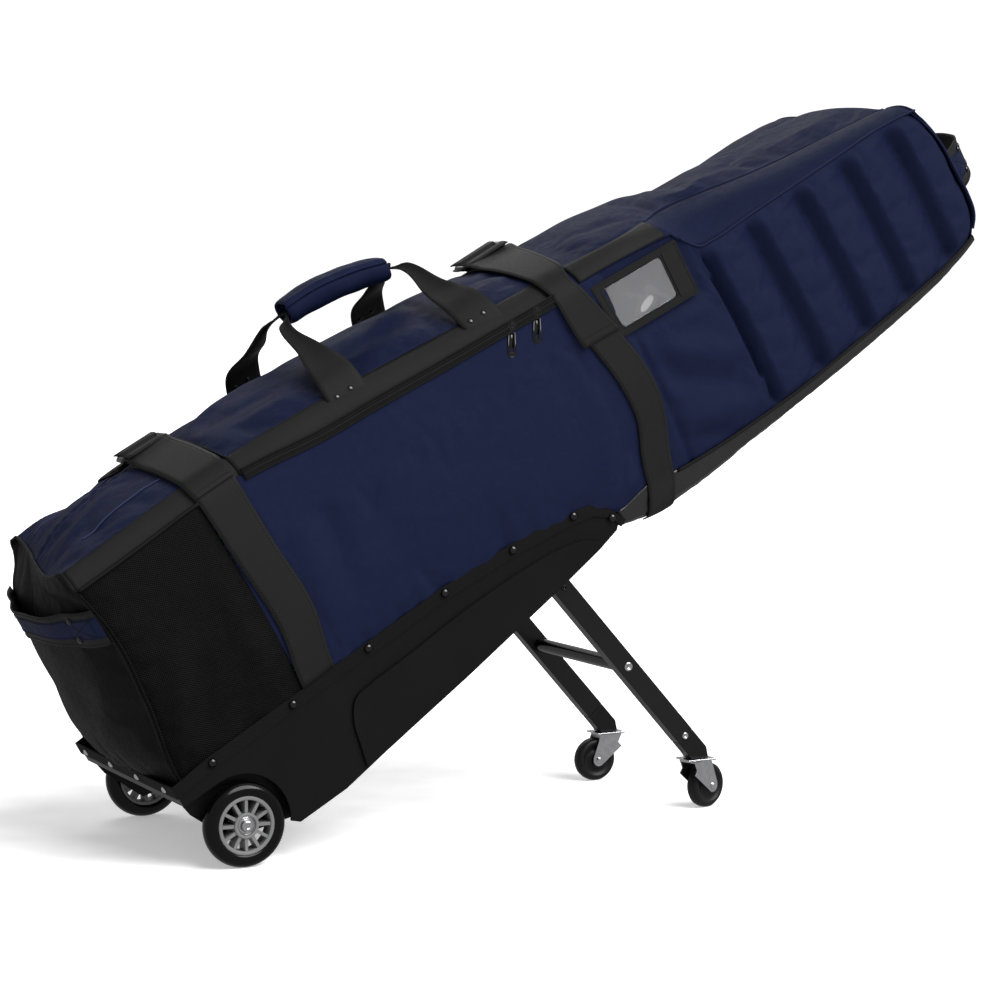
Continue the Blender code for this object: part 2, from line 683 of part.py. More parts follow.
def window():
    """The clear name window on the hood's near side."""
    place = frame("window_place", CASE, (0.7755, -0.1748, 0.2685), math.radians(3))
    outside = [(-0.056, -0.037), (0.056, -0.037), (0.056, 0.037), (-0.056, 0.037)]
    inside = [(-0.047, -0.028), (0.028, -0.028), (0.028, 0.028), (-0.047, 0.028)]
    prism("window_frame", [outside, inside], -0.0016, 0, "webbing", place)
    pane = [(x + GAP * (1 if x < 0 else -1), z + GAP * (1 if z < 0 else -1)) for x, z in inside]
    prism("window_pane", [pane], -0.0011, -0.0004, "clear_vinyl", place)


# Wheels, legs and casters ----------------------------------------------------------------------

def main_wheel(side, sign):
    spin = frame(f"{side}_wheel_spin", CASE, (0, sign * WHEEL_Y, 0))
    half = WHEEL_WIDTH / 2
    flip = sign > 0
    tyre = [(HUB_R + GAP, half - 0.002), (0.040, half), (0.0455, half - 0.0022),
            (0.0488, half - 0.006), (WHEEL_R, 0.002), (WHEEL_R, -0.002),
            (0.0488, 0.006 - half), (0.0455, 0.0022 - half), (0.040, -half),
            (HUB_R + GAP, 0.002 - half)]
    turned(f"{side}_tyre", tyre, (0, 0, 0), "polyurethane", spin, steps=36)
    rim = arc((0, 0), HUB_R, 0, 350, 35)
    windows = []
    for i in range(12):
        middle = 360 / 12 * (i + 0.5)
        windows.append([*arc((0, 0), 0.0300, middle - 11.5, middle + 11.5, 3),
                        *arc((0, 0), 0.0150, middle + 7, middle - 7, 1)])
    bore = arc((0, 0), BEARING_R + GAP, 0, 345, 23)
    prism(f"{side}_hub", [rim, *windows, bore], -0.009, 0.009, "hub_plastic", spin)
    race = [(BEARING_R, 0.0085), (BEARING_R, -0.0085), (AXLE_R + GAP, -0.0085),
            (AXLE_R + GAP, 0.0085)]
    turned(f"{side}_bearing", race, (0, 0, 0), "bearing_steel", spin, steps=24)
    bolt = [(0, 0.0132), (0.0045, 0.0132), (0.0070, 0.0118), (0.0070, 0.0090), (AXLE_R, 0.0090),
            (AXLE_R, -0.037), (0, -0.037)]
    turned(f"{side}_axle_bolt", bolt, (0, sign * WHEEL_Y, 0), "bearing_steel", CASE,
           closed=False, steps=24, flip=flip)


def level_point(x, z):
    """A place at a level and plumb distance from the leg pivot, in the leg's own frame."""
    turn = Matrix.Rotation(TILT + LEG_SPLAY, 3, "Y")
    return turn @ Vector((x, 0, z))


def legs():
    """Two tubes joined by the pivot shaft and a cross tube, with a moulded foot on each."""
    pivot = frame("leg_pivot", CASE, (PIVOT_U, 0, PIVOT_V), -LEG_SPLAY)
    half = LEG_DEPTH / 2
    pivot_height = WHEEL_R + PIVOT_U * math.sin(TILT) + PIVOT_V * math.cos(TILT)
    drop = CASTER_HEIGHT - pivot_height
    flat_left = level_point(CASTER_X - 0.013, drop + GAP)
    flat_right = level_point(CASTER_X + 0.013, drop + GAP)
    foot = [(-half, -LEG_END - GAP), (half, -LEG_END - GAP), (half, flat_right.z + 0.013),
            (flat_right.x, flat_right.z), (flat_left.x, flat_left.z),
            (-half, flat_left.z + 0.010)]
    for side, sign in (("near", -1), ("far", 1)):
        y0, y1 = sign * LEG_Y - LEG_WIDTH / 2, sign * LEG_Y + LEG_WIDTH / 2
        tube = [(-half, -LEG_END), (half, -LEG_END), (half, 0.008), (0.006, 0.014),
                (-0.006, 0.014), (-half, 0.008)]
        hole = arc((0, 0), PIVOT_R + GAP, 0, 345, 23)
        prism(f"{side}_leg", [tube, hole], y0, y1, "black_metal", pivot)
        prism(f"{side}_foot", [foot], y0, y1, "black_plastic", pivot)
        caster(side, sign, pivot, level_point(CASTER_X, drop))
    reach = LEG_Y - LEG_WIDTH / 2 - GAP
    rod("cross_tube", 0.009, (0, -reach, -CROSS_AT), (0, reach, -CROSS_AT), "black_metal", pivot)
    rod("pivot_shaft", PIVOT_R, (0, -0.141, 0), (0, 0.141, 0), "black_metal", pivot)


def caster(side, sign, pivot, plate):
    """Top plate and kingpin, sheet-metal fork with its axle, and the wheel."""
    level = frame(f"{side}_caster_level", pivot, (plate.x, sign * LEG_Y, plate.z),
                  TILT + LEG_SPLAY)
    top_plate = box(f"{side}_caster_plate", (-0.021, -0.016, -0.0022), (0.021, 0.016, 0),
                    "zinc", level)
    kingpin = rod("kingpin", 0.004, (0, 0, -0.008), (0, 0, -0.001), "zinc", level)
    combine(top_plate, kingpin, "UNION")
    swivel = frame(f"{side}_swivel", level, (0, 0, 0), 0, CASTER_YAW[side])
    roof = box(f"{side}_fork", (-0.017, -0.0135, -0.0046), (0.015, 0.0135, -0.0028), "zinc",
               swivel)
    axle_z = CASTER_R - CASTER_HEIGHT
    cheek = [(-0.017, -0.003), (0.015, -0.003), (0.0265, axle_z + 0.003),
             *arc((CASTER_TRAIL, axle_z), 0.0085, 15, -115, 6), (-0.017, -0.020),
             (-0.012, -0.014)]
    for y in (-0.0135, 0.0119):
        combine(roof, prism("cheek", [cheek], y, y + 0.0016, "zinc", swivel), "UNION")
    axle = rod("caster_axle", 0.003, (CASTER_TRAIL, -0.016, axle_z), (CASTER_TRAIL, 0.016, axle_z),
               "zinc", swivel)
    combine(roof, axle, "UNION")
    hole = rod("kingpin_hole", 0.0044, (0, 0, -0.02), (0, 0, 0.01), "zinc", swivel)
    combine(roof, hole, "DIFFERENCE")
    spin = frame(f"{side}_caster_spin", swivel, (CASTER_TRAIL, 0, axle_z))
    half = 0.009
    wheel = [(0.0034, half), (0.011, half), (0.0125, 0.0065), (0.020, 0.0065), (0.0215, half),
             (0.0265, half - 0.001), (CASTER_R, 0.004), (CASTER_R, -0.004),
             (0.0265, 0.001 - half), (0.0215, -half), (0.020, -0.0065), (0.0125, -0.0065),
             (0.011, -half), (0.0034, -half)]
    turned(f"{side}_caster_wheel", wheel, (0, 0, 0), "caster_rubber", spin, steps=32)


def main():
    tray()
    trim_strip()
    leg_bracket()
    lock_lever()
    side_panels()
    top_panels()
    hinge = lid()
    base_end()
    hood_end()
    hood_underside()
    linings()
    zipper()
    cinch_straps()
    carry_handle(hinge)
    bowed_handle("base_handle", [(-0.040, -0.158), (-0.058, -0.118), (-0.072, -0.060),
                                 (-0.076, 0.0)], 0.268, 0.314, -1)
    bowed_handle("hood_handle", [(1.277, -0.105), (1.300, -0.082), (1.318, -0.045),
                                 (1.322, 0.0)], 0.128, 0.178, 1)
    window()
    main_wheel("near", -1)
    main_wheel("far", 1)
    legs()


clear_scene()
PARTS = new_collection("golf_travel_case")
CUTTERS = new_collection("cutters")
CASE = frame("case_frame", None, (AXLE_X, 0, WHEEL_R), -TILT)
main()
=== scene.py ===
"""Looks of the wheeled golf travel case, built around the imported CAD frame.

Shapes on the case are drawn in its own frame: u along it from the main axle towards the hood,
y across it, and v square to both. All lengths are in metres.
"""

import json
import math

import bmesh
import bpy
import numpy as np
from mathutils import Matrix, Vector

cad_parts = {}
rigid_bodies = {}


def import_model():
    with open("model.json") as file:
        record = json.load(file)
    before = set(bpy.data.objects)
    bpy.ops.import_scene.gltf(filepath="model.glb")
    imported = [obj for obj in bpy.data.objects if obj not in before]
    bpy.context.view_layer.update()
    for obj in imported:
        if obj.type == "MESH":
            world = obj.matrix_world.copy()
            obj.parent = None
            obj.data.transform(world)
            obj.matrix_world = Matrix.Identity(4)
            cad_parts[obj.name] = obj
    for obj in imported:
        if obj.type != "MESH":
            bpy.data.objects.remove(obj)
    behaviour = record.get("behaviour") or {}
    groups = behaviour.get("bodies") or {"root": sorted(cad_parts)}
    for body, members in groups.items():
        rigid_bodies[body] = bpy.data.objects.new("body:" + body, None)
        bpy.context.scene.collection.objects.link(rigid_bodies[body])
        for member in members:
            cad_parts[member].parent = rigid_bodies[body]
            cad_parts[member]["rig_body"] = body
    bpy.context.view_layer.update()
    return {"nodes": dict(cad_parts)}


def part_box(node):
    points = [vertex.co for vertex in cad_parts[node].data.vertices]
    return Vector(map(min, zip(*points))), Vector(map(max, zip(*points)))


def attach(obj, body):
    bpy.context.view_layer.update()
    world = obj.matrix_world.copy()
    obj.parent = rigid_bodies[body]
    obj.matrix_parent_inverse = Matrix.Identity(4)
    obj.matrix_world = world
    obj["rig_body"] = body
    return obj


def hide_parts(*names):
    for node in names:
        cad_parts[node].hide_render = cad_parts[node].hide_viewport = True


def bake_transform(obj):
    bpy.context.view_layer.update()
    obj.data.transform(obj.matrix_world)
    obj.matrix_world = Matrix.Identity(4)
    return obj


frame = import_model()

# Driving dimensions -----------------------------------------------------------------------------


def centre_of(node):
    low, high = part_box(node)
    return (low + high) / 2


TILT = math.radians(30)
AXLE = centre_of("near_tyre")
CASE = Matrix.Translation((AXLE.x, 0, AXLE.z)) @ Matrix.Rotation(-TILT, 4, "Y")

SKIN = 0.0022  # thickness of a fabric panel
WEB = 0.0017  # thickness of webbing
LID_START, LID_END = 0.200, 0.653
LOWER_STRAP = (0.140, 0.193)
UPPER_STRAP = (0.662, 0.716)
SLOPE_BREAK = 0.832  # where the side's top edge drops from the slope's band to the ribs
GROOVES = (0.857, 0.937, 1.020, 1.101, 1.186)
GROOVE_LEAN = 0.055  # how far a groove leans towards the hood's end, for each metre of drop

# Lines along the case, as (u, value) control points.
FOOT_V = ((-0.040, 0.070), (0.40, 0.074), (0.54, 0.058), (0.58, 0.050), (0.61, 0.046),
          (0.64, 0.051), (0.66, 0.054), (0.70, 0.047), (0.76, 0.043), (0.83, 0.042),
          (0.90, 0.043), (1.00, 0.050), (1.11, 0.057), (1.19, 0.064), (1.25, 0.076),
          (1.28, 0.088))
BELLY_V = ((0.60, 0.026), (0.66, 0.013), (0.70, 0.012), (0.81, 0.020), (0.90, 0.025),
           (0.99, 0.031), (1.07, 0.038), (1.19, 0.052), (1.25, 0.066), (1.28, 0.080))
SIDE_TOP_V = ((-0.040, 0.339), (0.060, 0.3445), (0.139, 0.350), (0.196, 0.351), (0.318, 0.3385),
              (0.376, 0.336), (0.489, 0.329), (0.583, 0.324), (0.652, 0.3205), (0.716, 0.319),
              (0.832, 0.309))
HOOD_TOP_V = ((0.832, 0.309), (0.846, 0.289), (0.860, 0.275), (0.880, 0.272), (0.937, 0.272),
              (1.10, 0.271), (1.18, 0.270), (1.24, 0.262), (1.28, 0.250))
SHOULDER_Y = ((-0.04, 0.150), (0.20, 0.150), (0.652, 0.147), (0.815, 0.140), (0.835, 0.128),
              (0.860, 0.108), (1.00, 0.105), (1.28, 0.100))
SHOULDER_V = ((-0.040, 0.363), (0.14, 0.372), (0.20, 0.373), (0.38, 0.366), (0.52, 0.354),
              (0.652, 0.344), (0.815, 0.330), (0.860, 0.324), (0.935, 0.312), (1.045, 0.293),
              (1.18, 0.277), (1.24, 0.268), (1.28, 0.252))
CROWN_V = ((-0.040, 0.362), (0.00, 0.371), (0.060, 0.379), (0.14, 0.386), (0.20, 0.389),
           (0.30, 0.391), (0.38, 0.389), (0.52, 0.378), (0.652, 0.361), (0.74, 0.353),
           (0.83, 0.345), (0.935, 0.322), (1.045, 0.304), (1.18, 0.286), (1.24, 0.274),
           (1.28, 0.256))
SIDE_BULGE = ((-0.04, 0.002), (0.02, 0.006), (0.10, 0.011), (0.165, 0.0155), (0.25, 0.015),
              (0.40, 0.0145), (0.56, 0.012), (0.66, 0.009), (0.72, 0.010), (0.80, 0.008),
              (0.86, 0.006), (1.10, 0.006), (1.28, 0.002))
HALF_TOP = ((-0.04, 0.165), (0.06, 0.168), (1.18, 0.168), (1.24, 0.1655), (1.28, 0.158))
HALF_FOOT = ((-0.04, 0.1640), (0.59, 0.1645), (0.66, 0.1665), (1.18, 0.1665), (1.28, 0.157))
RIM_V = ((-0.050, 0.080), (0.004, 0.085), (0.121, 0.087), (0.234, 0.0905), (0.351, 0.092),
         (0.454, 0.087), (0.530, 0.078), (0.569, 0.0685), (0.588, 0.055), (0.600, 0.040))
FAR_SAG = ((-0.04, 0.020), (0.00, 0.012), (0.05, 0.010), (0.10, 0.020), (0.14, 0.014),
           (0.20, 0.014), (0.26, 0.020), (0.40, 0.021), (0.52, 0.023), (0.58, 0.027),
           (0.64, 0.025), (0.70, 0.018), (0.75, 0.020), (0.85, 0.020), (0.95, 0.018),
           (1.03, 0.015), (1.10, 0.006), (1.20, 0.000), (1.28, 0.0))


def curve(table):
    """A smooth line through control points, as a function of u."""
    xs, ys = np.array(table, float).T
    slopes = np.gradient(ys, xs)

    def value(u):
        u = np.clip(u, xs[0], xs[-1])
        i = np.clip(np.searchsorted(xs, u) - 1, 0, len(xs) - 2)
        h = xs[i + 1] - xs[i]
        t = (u - xs[i]) / h
        return (
            (2 * t**3 - 3 * t**2 + 1) * ys[i]
            + (t**3 - 2 * t**2 + t) * h * slopes[i]
            + (3 * t**2 - 2 * t**3) * ys[i + 1]
            + (t**3 - t**2) * h * slopes[i + 1]
        )

    return value


foot_v, belly_v, rim_v = curve(FOOT_V), curve(BELLY_V), curve(RIM_V)
band_foot_v, rib_top_v = curve(SIDE_TOP_V), curve(HOOD_TOP_V)
shoulder_y, shoulder_v, crown_v = curve(SHOULDER_Y), curve(SHOULDER_V), curve(CROWN_V)
bulge, half_top, half_foot = curve(SIDE_BULGE), curve(HALF_TOP), curve(HALF_FOOT)
far_sag = curve(FAR_SAG)


def side_top_v(u):
    return np.where(u < SLOPE_BREAK, band_foot_v(u), rib_top_v(u))


def smoothstep(low, high, x):
    t = np.clip((x - low) / (high - low), 0, 1)
    return t * t * (3 - 2 * t)


def sagged(grid):
    """Lets the top hang lower towards the far side, as a half-filled case does."""
    u, y, v = grid[..., 0], grid[..., 1], grid[..., 2]
    drop = far_sag(u) * smoothstep(-0.02, 0.12, y) * smoothstep(0.16, 0.33, v)
    return np.stack([u, y, v - drop], -1)


# Meshes -----------------------------------------------------------------------------------------

def linked(name, data):
    """A new object in the scene, around a mesh, light or camera."""
    made = bpy.data.objects.new(name, data)
    bpy.context.scene.collection.objects.link(made)
    return made


def new_object(name, verts, faces, material, uvs=None, smooth=True):
    mesh = bpy.data.meshes.new(name)
    mesh.from_pydata([tuple(v) for v in verts], [], [tuple(f) for f in faces])
    mesh.materials.append(material)
    if uvs is not None:
        layer = mesh.uv_layers.new(name="weave")
        index = np.empty(len(mesh.loops), int)
        mesh.loops.foreach_get("vertex_index", index)
        layer.data.foreach_set("uv", np.asarray(uvs, float)[index].ravel())
    if smooth:
        mesh.shade_smooth()
    return linked(name, mesh)


def settle(obj, body, replaced=(), place=CASE):
    """Moves a mesh from the case's frame into the world and hands it to its body."""
    if place is not None:
        obj.data.transform(place)
    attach(obj, body)
    if replaced:
        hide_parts(*replaced)
    return obj


def grid_faces(rows, cols):
    r, c = np.meshgrid(np.arange(rows - 1), np.arange(cols - 1), indexing="ij")
    a = r * cols + c
    return np.stack([a, a + cols, a + cols + 1, a + 1], axis=-1).reshape(-1, 4)


def lengths(grid):
    """The distance along each row and down each column of a grid of points."""
    along_rows = np.linalg.norm(np.diff(grid, axis=0), axis=2).cumsum(axis=0)
    along_cols = np.linalg.norm(np.diff(grid, axis=1), axis=2).cumsum(axis=1)
    first = np.zeros_like(grid[..., 0])
    second = np.zeros_like(grid[..., 0])
    first[1:] = along_rows
    second[:, 1:] = along_cols
    middle = grid.shape[1] // 2
    return np.stack([np.repeat(first[:, middle:middle + 1], grid.shape[1], axis=1), second], -1)


def normals(grid):
    found = np.cross(np.gradient(grid, axis=0), np.gradient(grid, axis=1))
    return found / np.maximum(np.linalg.norm(found, axis=2, keepdims=True), 1e-12)


def raised(grid, height):
    """A grid moved along its normals, by one height or by one for each point."""
    return grid + normals(grid) * np.broadcast_to(height, grid.shape[:2])[..., None]


def thicken(obj, thickness, offset=-1):
    solid = obj.modifiers.new("Thickness", "SOLIDIFY")
    solid.thickness = thickness
    solid.offset = offset


def panel(name, grid, material, thickness=SKIN, offset=-1):
    """A cloth panel through a grid of points. Its thickness lies behind them, or at offset 1
    in front."""
    obj = new_object(name, grid.reshape(-1, 3), grid_faces(*grid.shape[:2]), material,
                     lengths(grid).reshape(-1, 2))
    thicken(obj, thickness, offset)
    return obj


def subdivided(obj):
    smooth = obj.modifiers.new("Smooth", "SUBSURF")
    smooth.levels = smooth.render_levels = 1


def tube(name, path, radius, material, sides=8, closed=False):
    """A round cord along a list of points."""
    path = [Vector(p) for p in path]
    count = len(path)
    verts, faces, uv = [], [], []
    reach = 0
    side = None
    for i, here in enumerate(path):
        before = path[i - 1] if i or closed else here
        after = path[(i + 1) % count] if i < count - 1 or closed else here
        ahead = (after - before).normalized()
        if side is None:
            side = ahead.orthogonal().normalized()
        side = (side - ahead * side.dot(ahead)).normalized()
        other = ahead.cross(side)
        reach += (here - path[i - 1]).length if i else 0
        for j in range(sides):
            a = 2 * math.pi * j / sides
            verts.append(here + (side * math.cos(a) + other * math.sin(a)) * radius)
            uv.append((reach, radius * a))
    faces = [
        [i * sides + j, i * sides + (j + 1) % sides,
         ((i + 1) % count) * sides + (j + 1) % sides, ((i + 1) % count) * sides + j]
        for i in range(count if closed else count - 1)
        for j in range(sides)
    ]
    if not closed:
        faces += [list(range(sides))[::-1], [(count - 1) * sides + j for j in range(sides)]]
    return new_object(name, verts, faces, material, uv)


def reach_along(path):
    """The distance from a path's start to each of its points."""
    return np.concatenate([[0], np.linalg.norm(np.diff(path, axis=0), axis=1).cumsum()])


def resampled(path, step):
    path = np.array([tuple(p) for p in path], float)
    reach = reach_along(path)
    marks = np.linspace(0, reach[-1], max(2, round(reach[-1] / step) + 1))
    return np.stack([np.interp(marks, reach, path[:, k]) for k in range(3)], -1)


STITCH_LENGTH = 0.0028
STITCH_RADIUS = 0.00035


def stitches(name, lines, material, outward, pitch=0.0042):
    """Sewn stitches along lines. outward gives the direction away from the cloth at a point."""
    length, radius = STITCH_LENGTH, STITCH_RADIUS
    verts, faces = [], []
    for line in lines:
        marks = resampled(line, pitch)
        for here, after in zip(marks[:-1], marks[1:]):
            ahead = (after - here) / max(np.linalg.norm(after - here), 1e-9)
            up = np.array(outward(here), float)
            up -= ahead * up.dot(ahead)
            up /= np.linalg.norm(up)
            side = np.cross(ahead, up)
            first = len(verts)
            for along, high in ((0, -0.4), (0.2, 0.8), (0.8, 0.8), (1, -0.4)):
                middle = here + ahead * length * along + up * radius * high
                verts += [middle - side * radius, middle + up * radius * 0.6,
                          middle + side * radius]
            for k in range(3):
                a = first + 3 * k
                faces += [(a, a + 1, a + 4, a + 3), (a + 1, a + 2, a + 5, a + 4),
                          (a + 2, a, a + 3, a + 5)]
            faces += [(first, first + 2, first + 1), (first + 9, first + 10, first + 11)]
    return new_object(name, verts, faces, material)


def join(name, objects):
    """Several objects as one, with their modifiers applied."""
    shape = bmesh.new()
    graph = bpy.context.evaluated_depsgraph_get()
    material_list = []
    for obj in objects:
        evaluated = obj.evaluated_get(graph)
        mesh = bpy.data.meshes.new_from_object(evaluated, preserve_all_data_layers=True,
                                               depsgraph=graph)
        mesh.transform(obj.matrix_world)
        for m in obj.data.materials:
            if m not in material_list:
                material_list.append(m)
        lookup = [material_list.index(m) for m in obj.data.materials]
        before = len(shape.faces)
        shape.from_mesh(mesh)
        shape.faces.ensure_lookup_table()
        for face in shape.faces[before:]:
            face.material_index = lookup[face.material_index]
        bpy.data.meshes.remove(mesh)
    mesh = bpy.data.meshes.new(name)
    shape.to_mesh(mesh)
    shape.free()
    for m in material_list:
        mesh.materials.append(m)
    for obj in objects:
        bpy.data.objects.remove(obj, do_unlink=True)
    return linked(name, mesh)


def lathe(name, profile, centre, material, axis="Y", steps=64, closed=False):
    """A profile of (radius, height) points turned about an axis through centre."""
    turn = {"Y": Matrix.Rotation(math.pi / 2, 3, "X"), "Z": Matrix.Identity(3)}[axis]
    count = len(profile)
    verts, faces = [], []
    for i in range(steps):
        a = 2 * math.pi * i / steps
        for r, h in profile:
            verts.append(turn @ Vector((r * math.cos(a), r * math.sin(a), h)) + Vector(centre))
    for i in range(steps):
        j = (i + 1) % steps
        for k in range(count if closed else count - 1):
            n = (k + 1) % count
            faces.append((i * count + k, j * count + k, j * count + n, i * count + n))
    obj = new_object(name, verts, faces, material)
    weld(obj)
    return obj


def weld(obj):
    shape = bmesh.new()
    shape.from_mesh(obj.data)
    bmesh.ops.remove_doubles(shape, verts=shape.verts, dist=1e-6)
    bmesh.ops.recalc_face_normals(shape, faces=shape.faces)
    shape.to_mesh(obj.data)
    shape.free()


def rounded(obj, width, segments=3, degrees=30):
    bevel = obj.modifiers.new("Edges", "BEVEL")
    bevel.width = width
    bevel.segments = segments
    bevel.limit_method = "ANGLE"
    bevel.angle_limit = math.radians(degrees)
    return obj


def arc(centre, radius, start, end, steps):
    angles = np.radians(np.linspace(start, end, steps + 1))
    return [(centre[0] + radius * math.cos(a), centre[1] + radius * math.sin(a)) for a in angles]


def plate(name, loops, y0, y1, material):
    """Outlines in (u, v), the first outside and the rest holes, as a solid from y0 to y1."""
    flat = bpy.data.curves.new(name, "CURVE")
    flat.dimensions = "2D"
    flat.fill_mode = "BOTH"
    flat.extrude = abs(y1 - y0) / 2
    for loop in loops:
        spline = flat.splines.new("POLY")
        spline.points.add(len(loop) - 1)
        for point, (x, z) in zip(spline.points, loop):
            point.co = (x, z, 0, 1)
        spline.use_cyclic_u = True
    holder = linked(name, flat)
    graph = bpy.context.evaluated_depsgraph_get()
    mesh = bpy.data.meshes.new_from_object(holder.evaluated_get(graph))
    bpy.data.objects.remove(holder, do_unlink=True)
    mesh.name = name
    mesh.materials.clear()
    mesh.materials.append(material)
    mesh.transform(Matrix.Translation((0, (y0 + y1) / 2, 0))
                   @ Matrix.Rotation(math.pi / 2, 4, "X"))
    made = linked(name, mesh)
    weld(made)
    made.data.set_sharp_from_angle(angle=math.radians(35))
    return made


# Materials --------------------------------------------------------------------------------------

class Paint:
    """A Principled material, built node by node."""

    def __init__(self, name, colour, roughness, **sockets):
        self.material = bpy.data.materials.new(name)
        self.material.use_nodes = True
        self.material.diffuse_color = (*colour, 1)
        self.tree = self.material.node_tree
        self.shader = self.tree.nodes["Principled BSDF"]
        self.shader.inputs["Base Color"].default_value = (*colour, 1)
        self.shader.inputs["Roughness"].default_value = roughness
        self.shader.inputs["Specular IOR Level"].default_value = 0.22
        for socket, value in sockets.items():
            self.shader.inputs[socket.replace("_", " ")].default_value = value
        self.colour = colour

    def node(self, kind, settings=None, **inputs):
        made = self.tree.nodes.new(kind)
        for key, value in (settings or {}).items():
            setattr(made, key, value)
        for key, value in inputs.items():
            socket = made.inputs[int(key[1:]) if key[1:].isdigit() else key.replace("_", " ")]
            if isinstance(value, bpy.types.NodeSocket):
                self.tree.links.new(value, socket)
            else:
                socket.default_value = value
        return made

    def math(self, operation, a, b):
        return self.node("ShaderNodeMath", {"operation": operation}, i0=a, i1=b).outputs[0]

    def coordinates(self, weave, turn=0.0):
        """The cloth's own coordinates in metres, or the object's."""
        if weave:
            source = self.node("ShaderNodeUVMap", {"uv_map": "weave"}).outputs[0]
        else:
            source = self.node("ShaderNodeTexCoord").outputs["Object"]
        if turn:
            source = self.node("ShaderNodeMapping", None, Vector=source,
                               Rotation=(0, 0, math.radians(turn))).outputs[0]
        return source

    def noise(self, source, size, detail=3.0, distortion=0.0):
        return self.node("ShaderNodeTexNoise", None, Vector=source, Scale=1 / size, Detail=detail,
                         Distortion=distortion).outputs[0]

    def ribs(self, source, pitch, direction="X", distortion=0.0):
        """Raised lines, pitch apart."""
        return self.node("ShaderNodeTexWave", {"bands_direction": direction}, Vector=source,
                         Scale=math.pi / 10 / pitch, Distortion=distortion,
                         Detail_Scale=1.0).outputs[1]

    def remap(self, value, low, high, from_low=0.0, from_high=1.0):
        return self.node("ShaderNodeMapRange", None, Value=value, From_Min=from_low,
                         From_Max=from_high, To_Min=low, To_Max=high).outputs[0]

    def tint(self, factor, dark, light):
        """The base colour, scaled between dark and light by a factor."""
        low = tuple(c * dark for c in self.colour) + (1,)
        high = tuple(c * light for c in self.colour) + (1,)
        mix = self.node("ShaderNodeMix", {"data_type": "RGBA"}, i0=factor, i6=low, i7=high)
        self.tree.links.new(mix.outputs[2], self.shader.inputs["Base Color"])

    def rough(self, value, low, high):
        self.tree.links.new(self.remap(value, low, high), self.shader.inputs["Roughness"])

    def bump(self, *layers):
        """Stacks (height, depth in metres, strength) layers into the normal."""
        normal = None
        for height, distance, strength in layers:
            made = self.node("ShaderNodeBump", None, Strength=strength, Distance=distance,
                             Height=height)
            if normal is not None:
                self.tree.links.new(normal, made.inputs["Normal"])
            normal = made.outputs[0]
        self.tree.links.new(normal, self.shader.inputs["Normal"])


def cloth_material(name, colour, roughness, pitch, weave_depth, turn=0.0, wrinkle=0.0012,
                   contrast=(0.62, 1.35), dots=False):
    paint = Paint(name, colour, roughness, Specular_IOR_Level=0.05)
    base = paint.coordinates(True, turn)
    warp = paint.ribs(base, pitch, "X", 0.3)
    weft = paint.ribs(base, pitch * (1.0 if dots else 0.62), "Y", 0.3)
    weave = paint.math("MULTIPLY", warp, weft)
    if dots:
        half = paint.node("ShaderNodeMapping", None, Vector=base,
                          Location=(pitch / 2, pitch / 2, 0)).outputs[0]
        other = paint.math("MULTIPLY", paint.ribs(half, pitch, "X"), paint.ribs(half, pitch, "Y"))
        weave = paint.math("MAXIMUM", weave, other)
    broad = paint.noise(base, 0.14, 4.0)
    slub = paint.noise(base, 0.010, 6.0)
    crumple = paint.noise(base, 0.045, 5.0, 0.4)
    shade = paint.math("MULTIPLY", paint.remap(weave, 0.35, 1.0), paint.remap(broad, 0.6, 1.0))
    shade = paint.math("MULTIPLY", shade, paint.remap(slub, 0.75, 1.0, 0.3, 0.7))
    # The tint follows the weave. With dots and a high contrast, it is partly the weave's own tone
    # and partly a painted highlight on the raised dots.
    paint.tint(shade, *contrast)
    paint.rough(slub, roughness - 0.08, roughness + 0.10)
    paint.bump((crumple, wrinkle * 6, 0.5), (slub, 0.0008, 0.35), (weave, weave_depth, 0.7))
    return paint.material


def webbing_material(name, colour, pitch=0.0026, roughness=0.55):
    paint = Paint(name, colour, roughness, Specular_IOR_Level=0.08)
    base = paint.coordinates(True)
    across = paint.ribs(base, pitch, "X", 0.25)
    cord = paint.ribs(base, pitch * 0.55, "Y", 0.2)
    weave = paint.math("MAXIMUM", paint.math("MULTIPLY", across, 0.75), cord)
    fuzz = paint.noise(base, 0.004, 5.0)
    broad = paint.noise(base, 0.06, 3.0)
    paint.tint(paint.math("MULTIPLY", paint.remap(weave, 0.5, 1.0), paint.remap(broad, 0.6, 1.0)),
               0.65, 1.35)
    paint.rough(fuzz, roughness - 0.1, roughness + 0.12)
    paint.bump((broad, 0.0012, 0.3), (fuzz, 0.0003, 0.3), (weave, 0.0004, 0.6))
    return paint.material


def plastic_material(name, colour, roughness, grain=0.0011, depth=0.00025, spread=0.08, **sockets):
    paint = Paint(name, colour, roughness, **sockets)
    base = paint.coordinates(False)
    fine = paint.noise(base, grain, 4.0)
    broad = paint.noise(base, 0.07, 4.0)
    paint.tint(broad, 0.8, 1.25)
    paint.rough(paint.math("ADD", paint.math("MULTIPLY", fine, 0.5),
                           paint.math("MULTIPLY", broad, 0.5)),
                roughness - spread, roughness + spread)
    paint.bump((fine, depth, 0.35))
    return paint.material


def metal_material(name, colour, roughness, streak=0.0015):
    paint = Paint(name, colour, roughness, Metallic=1.0)
    base = paint.coordinates(False)
    fine = paint.noise(base, streak, 6.0)
    blotch = paint.noise(base, 0.008, 3.0)
    paint.tint(blotch, 0.75, 1.15)
    paint.rough(paint.math("MULTIPLY", fine, blotch), roughness * 0.6, roughness * 1.9)
    paint.bump((fine, 0.00008, 0.3))
    return paint.material


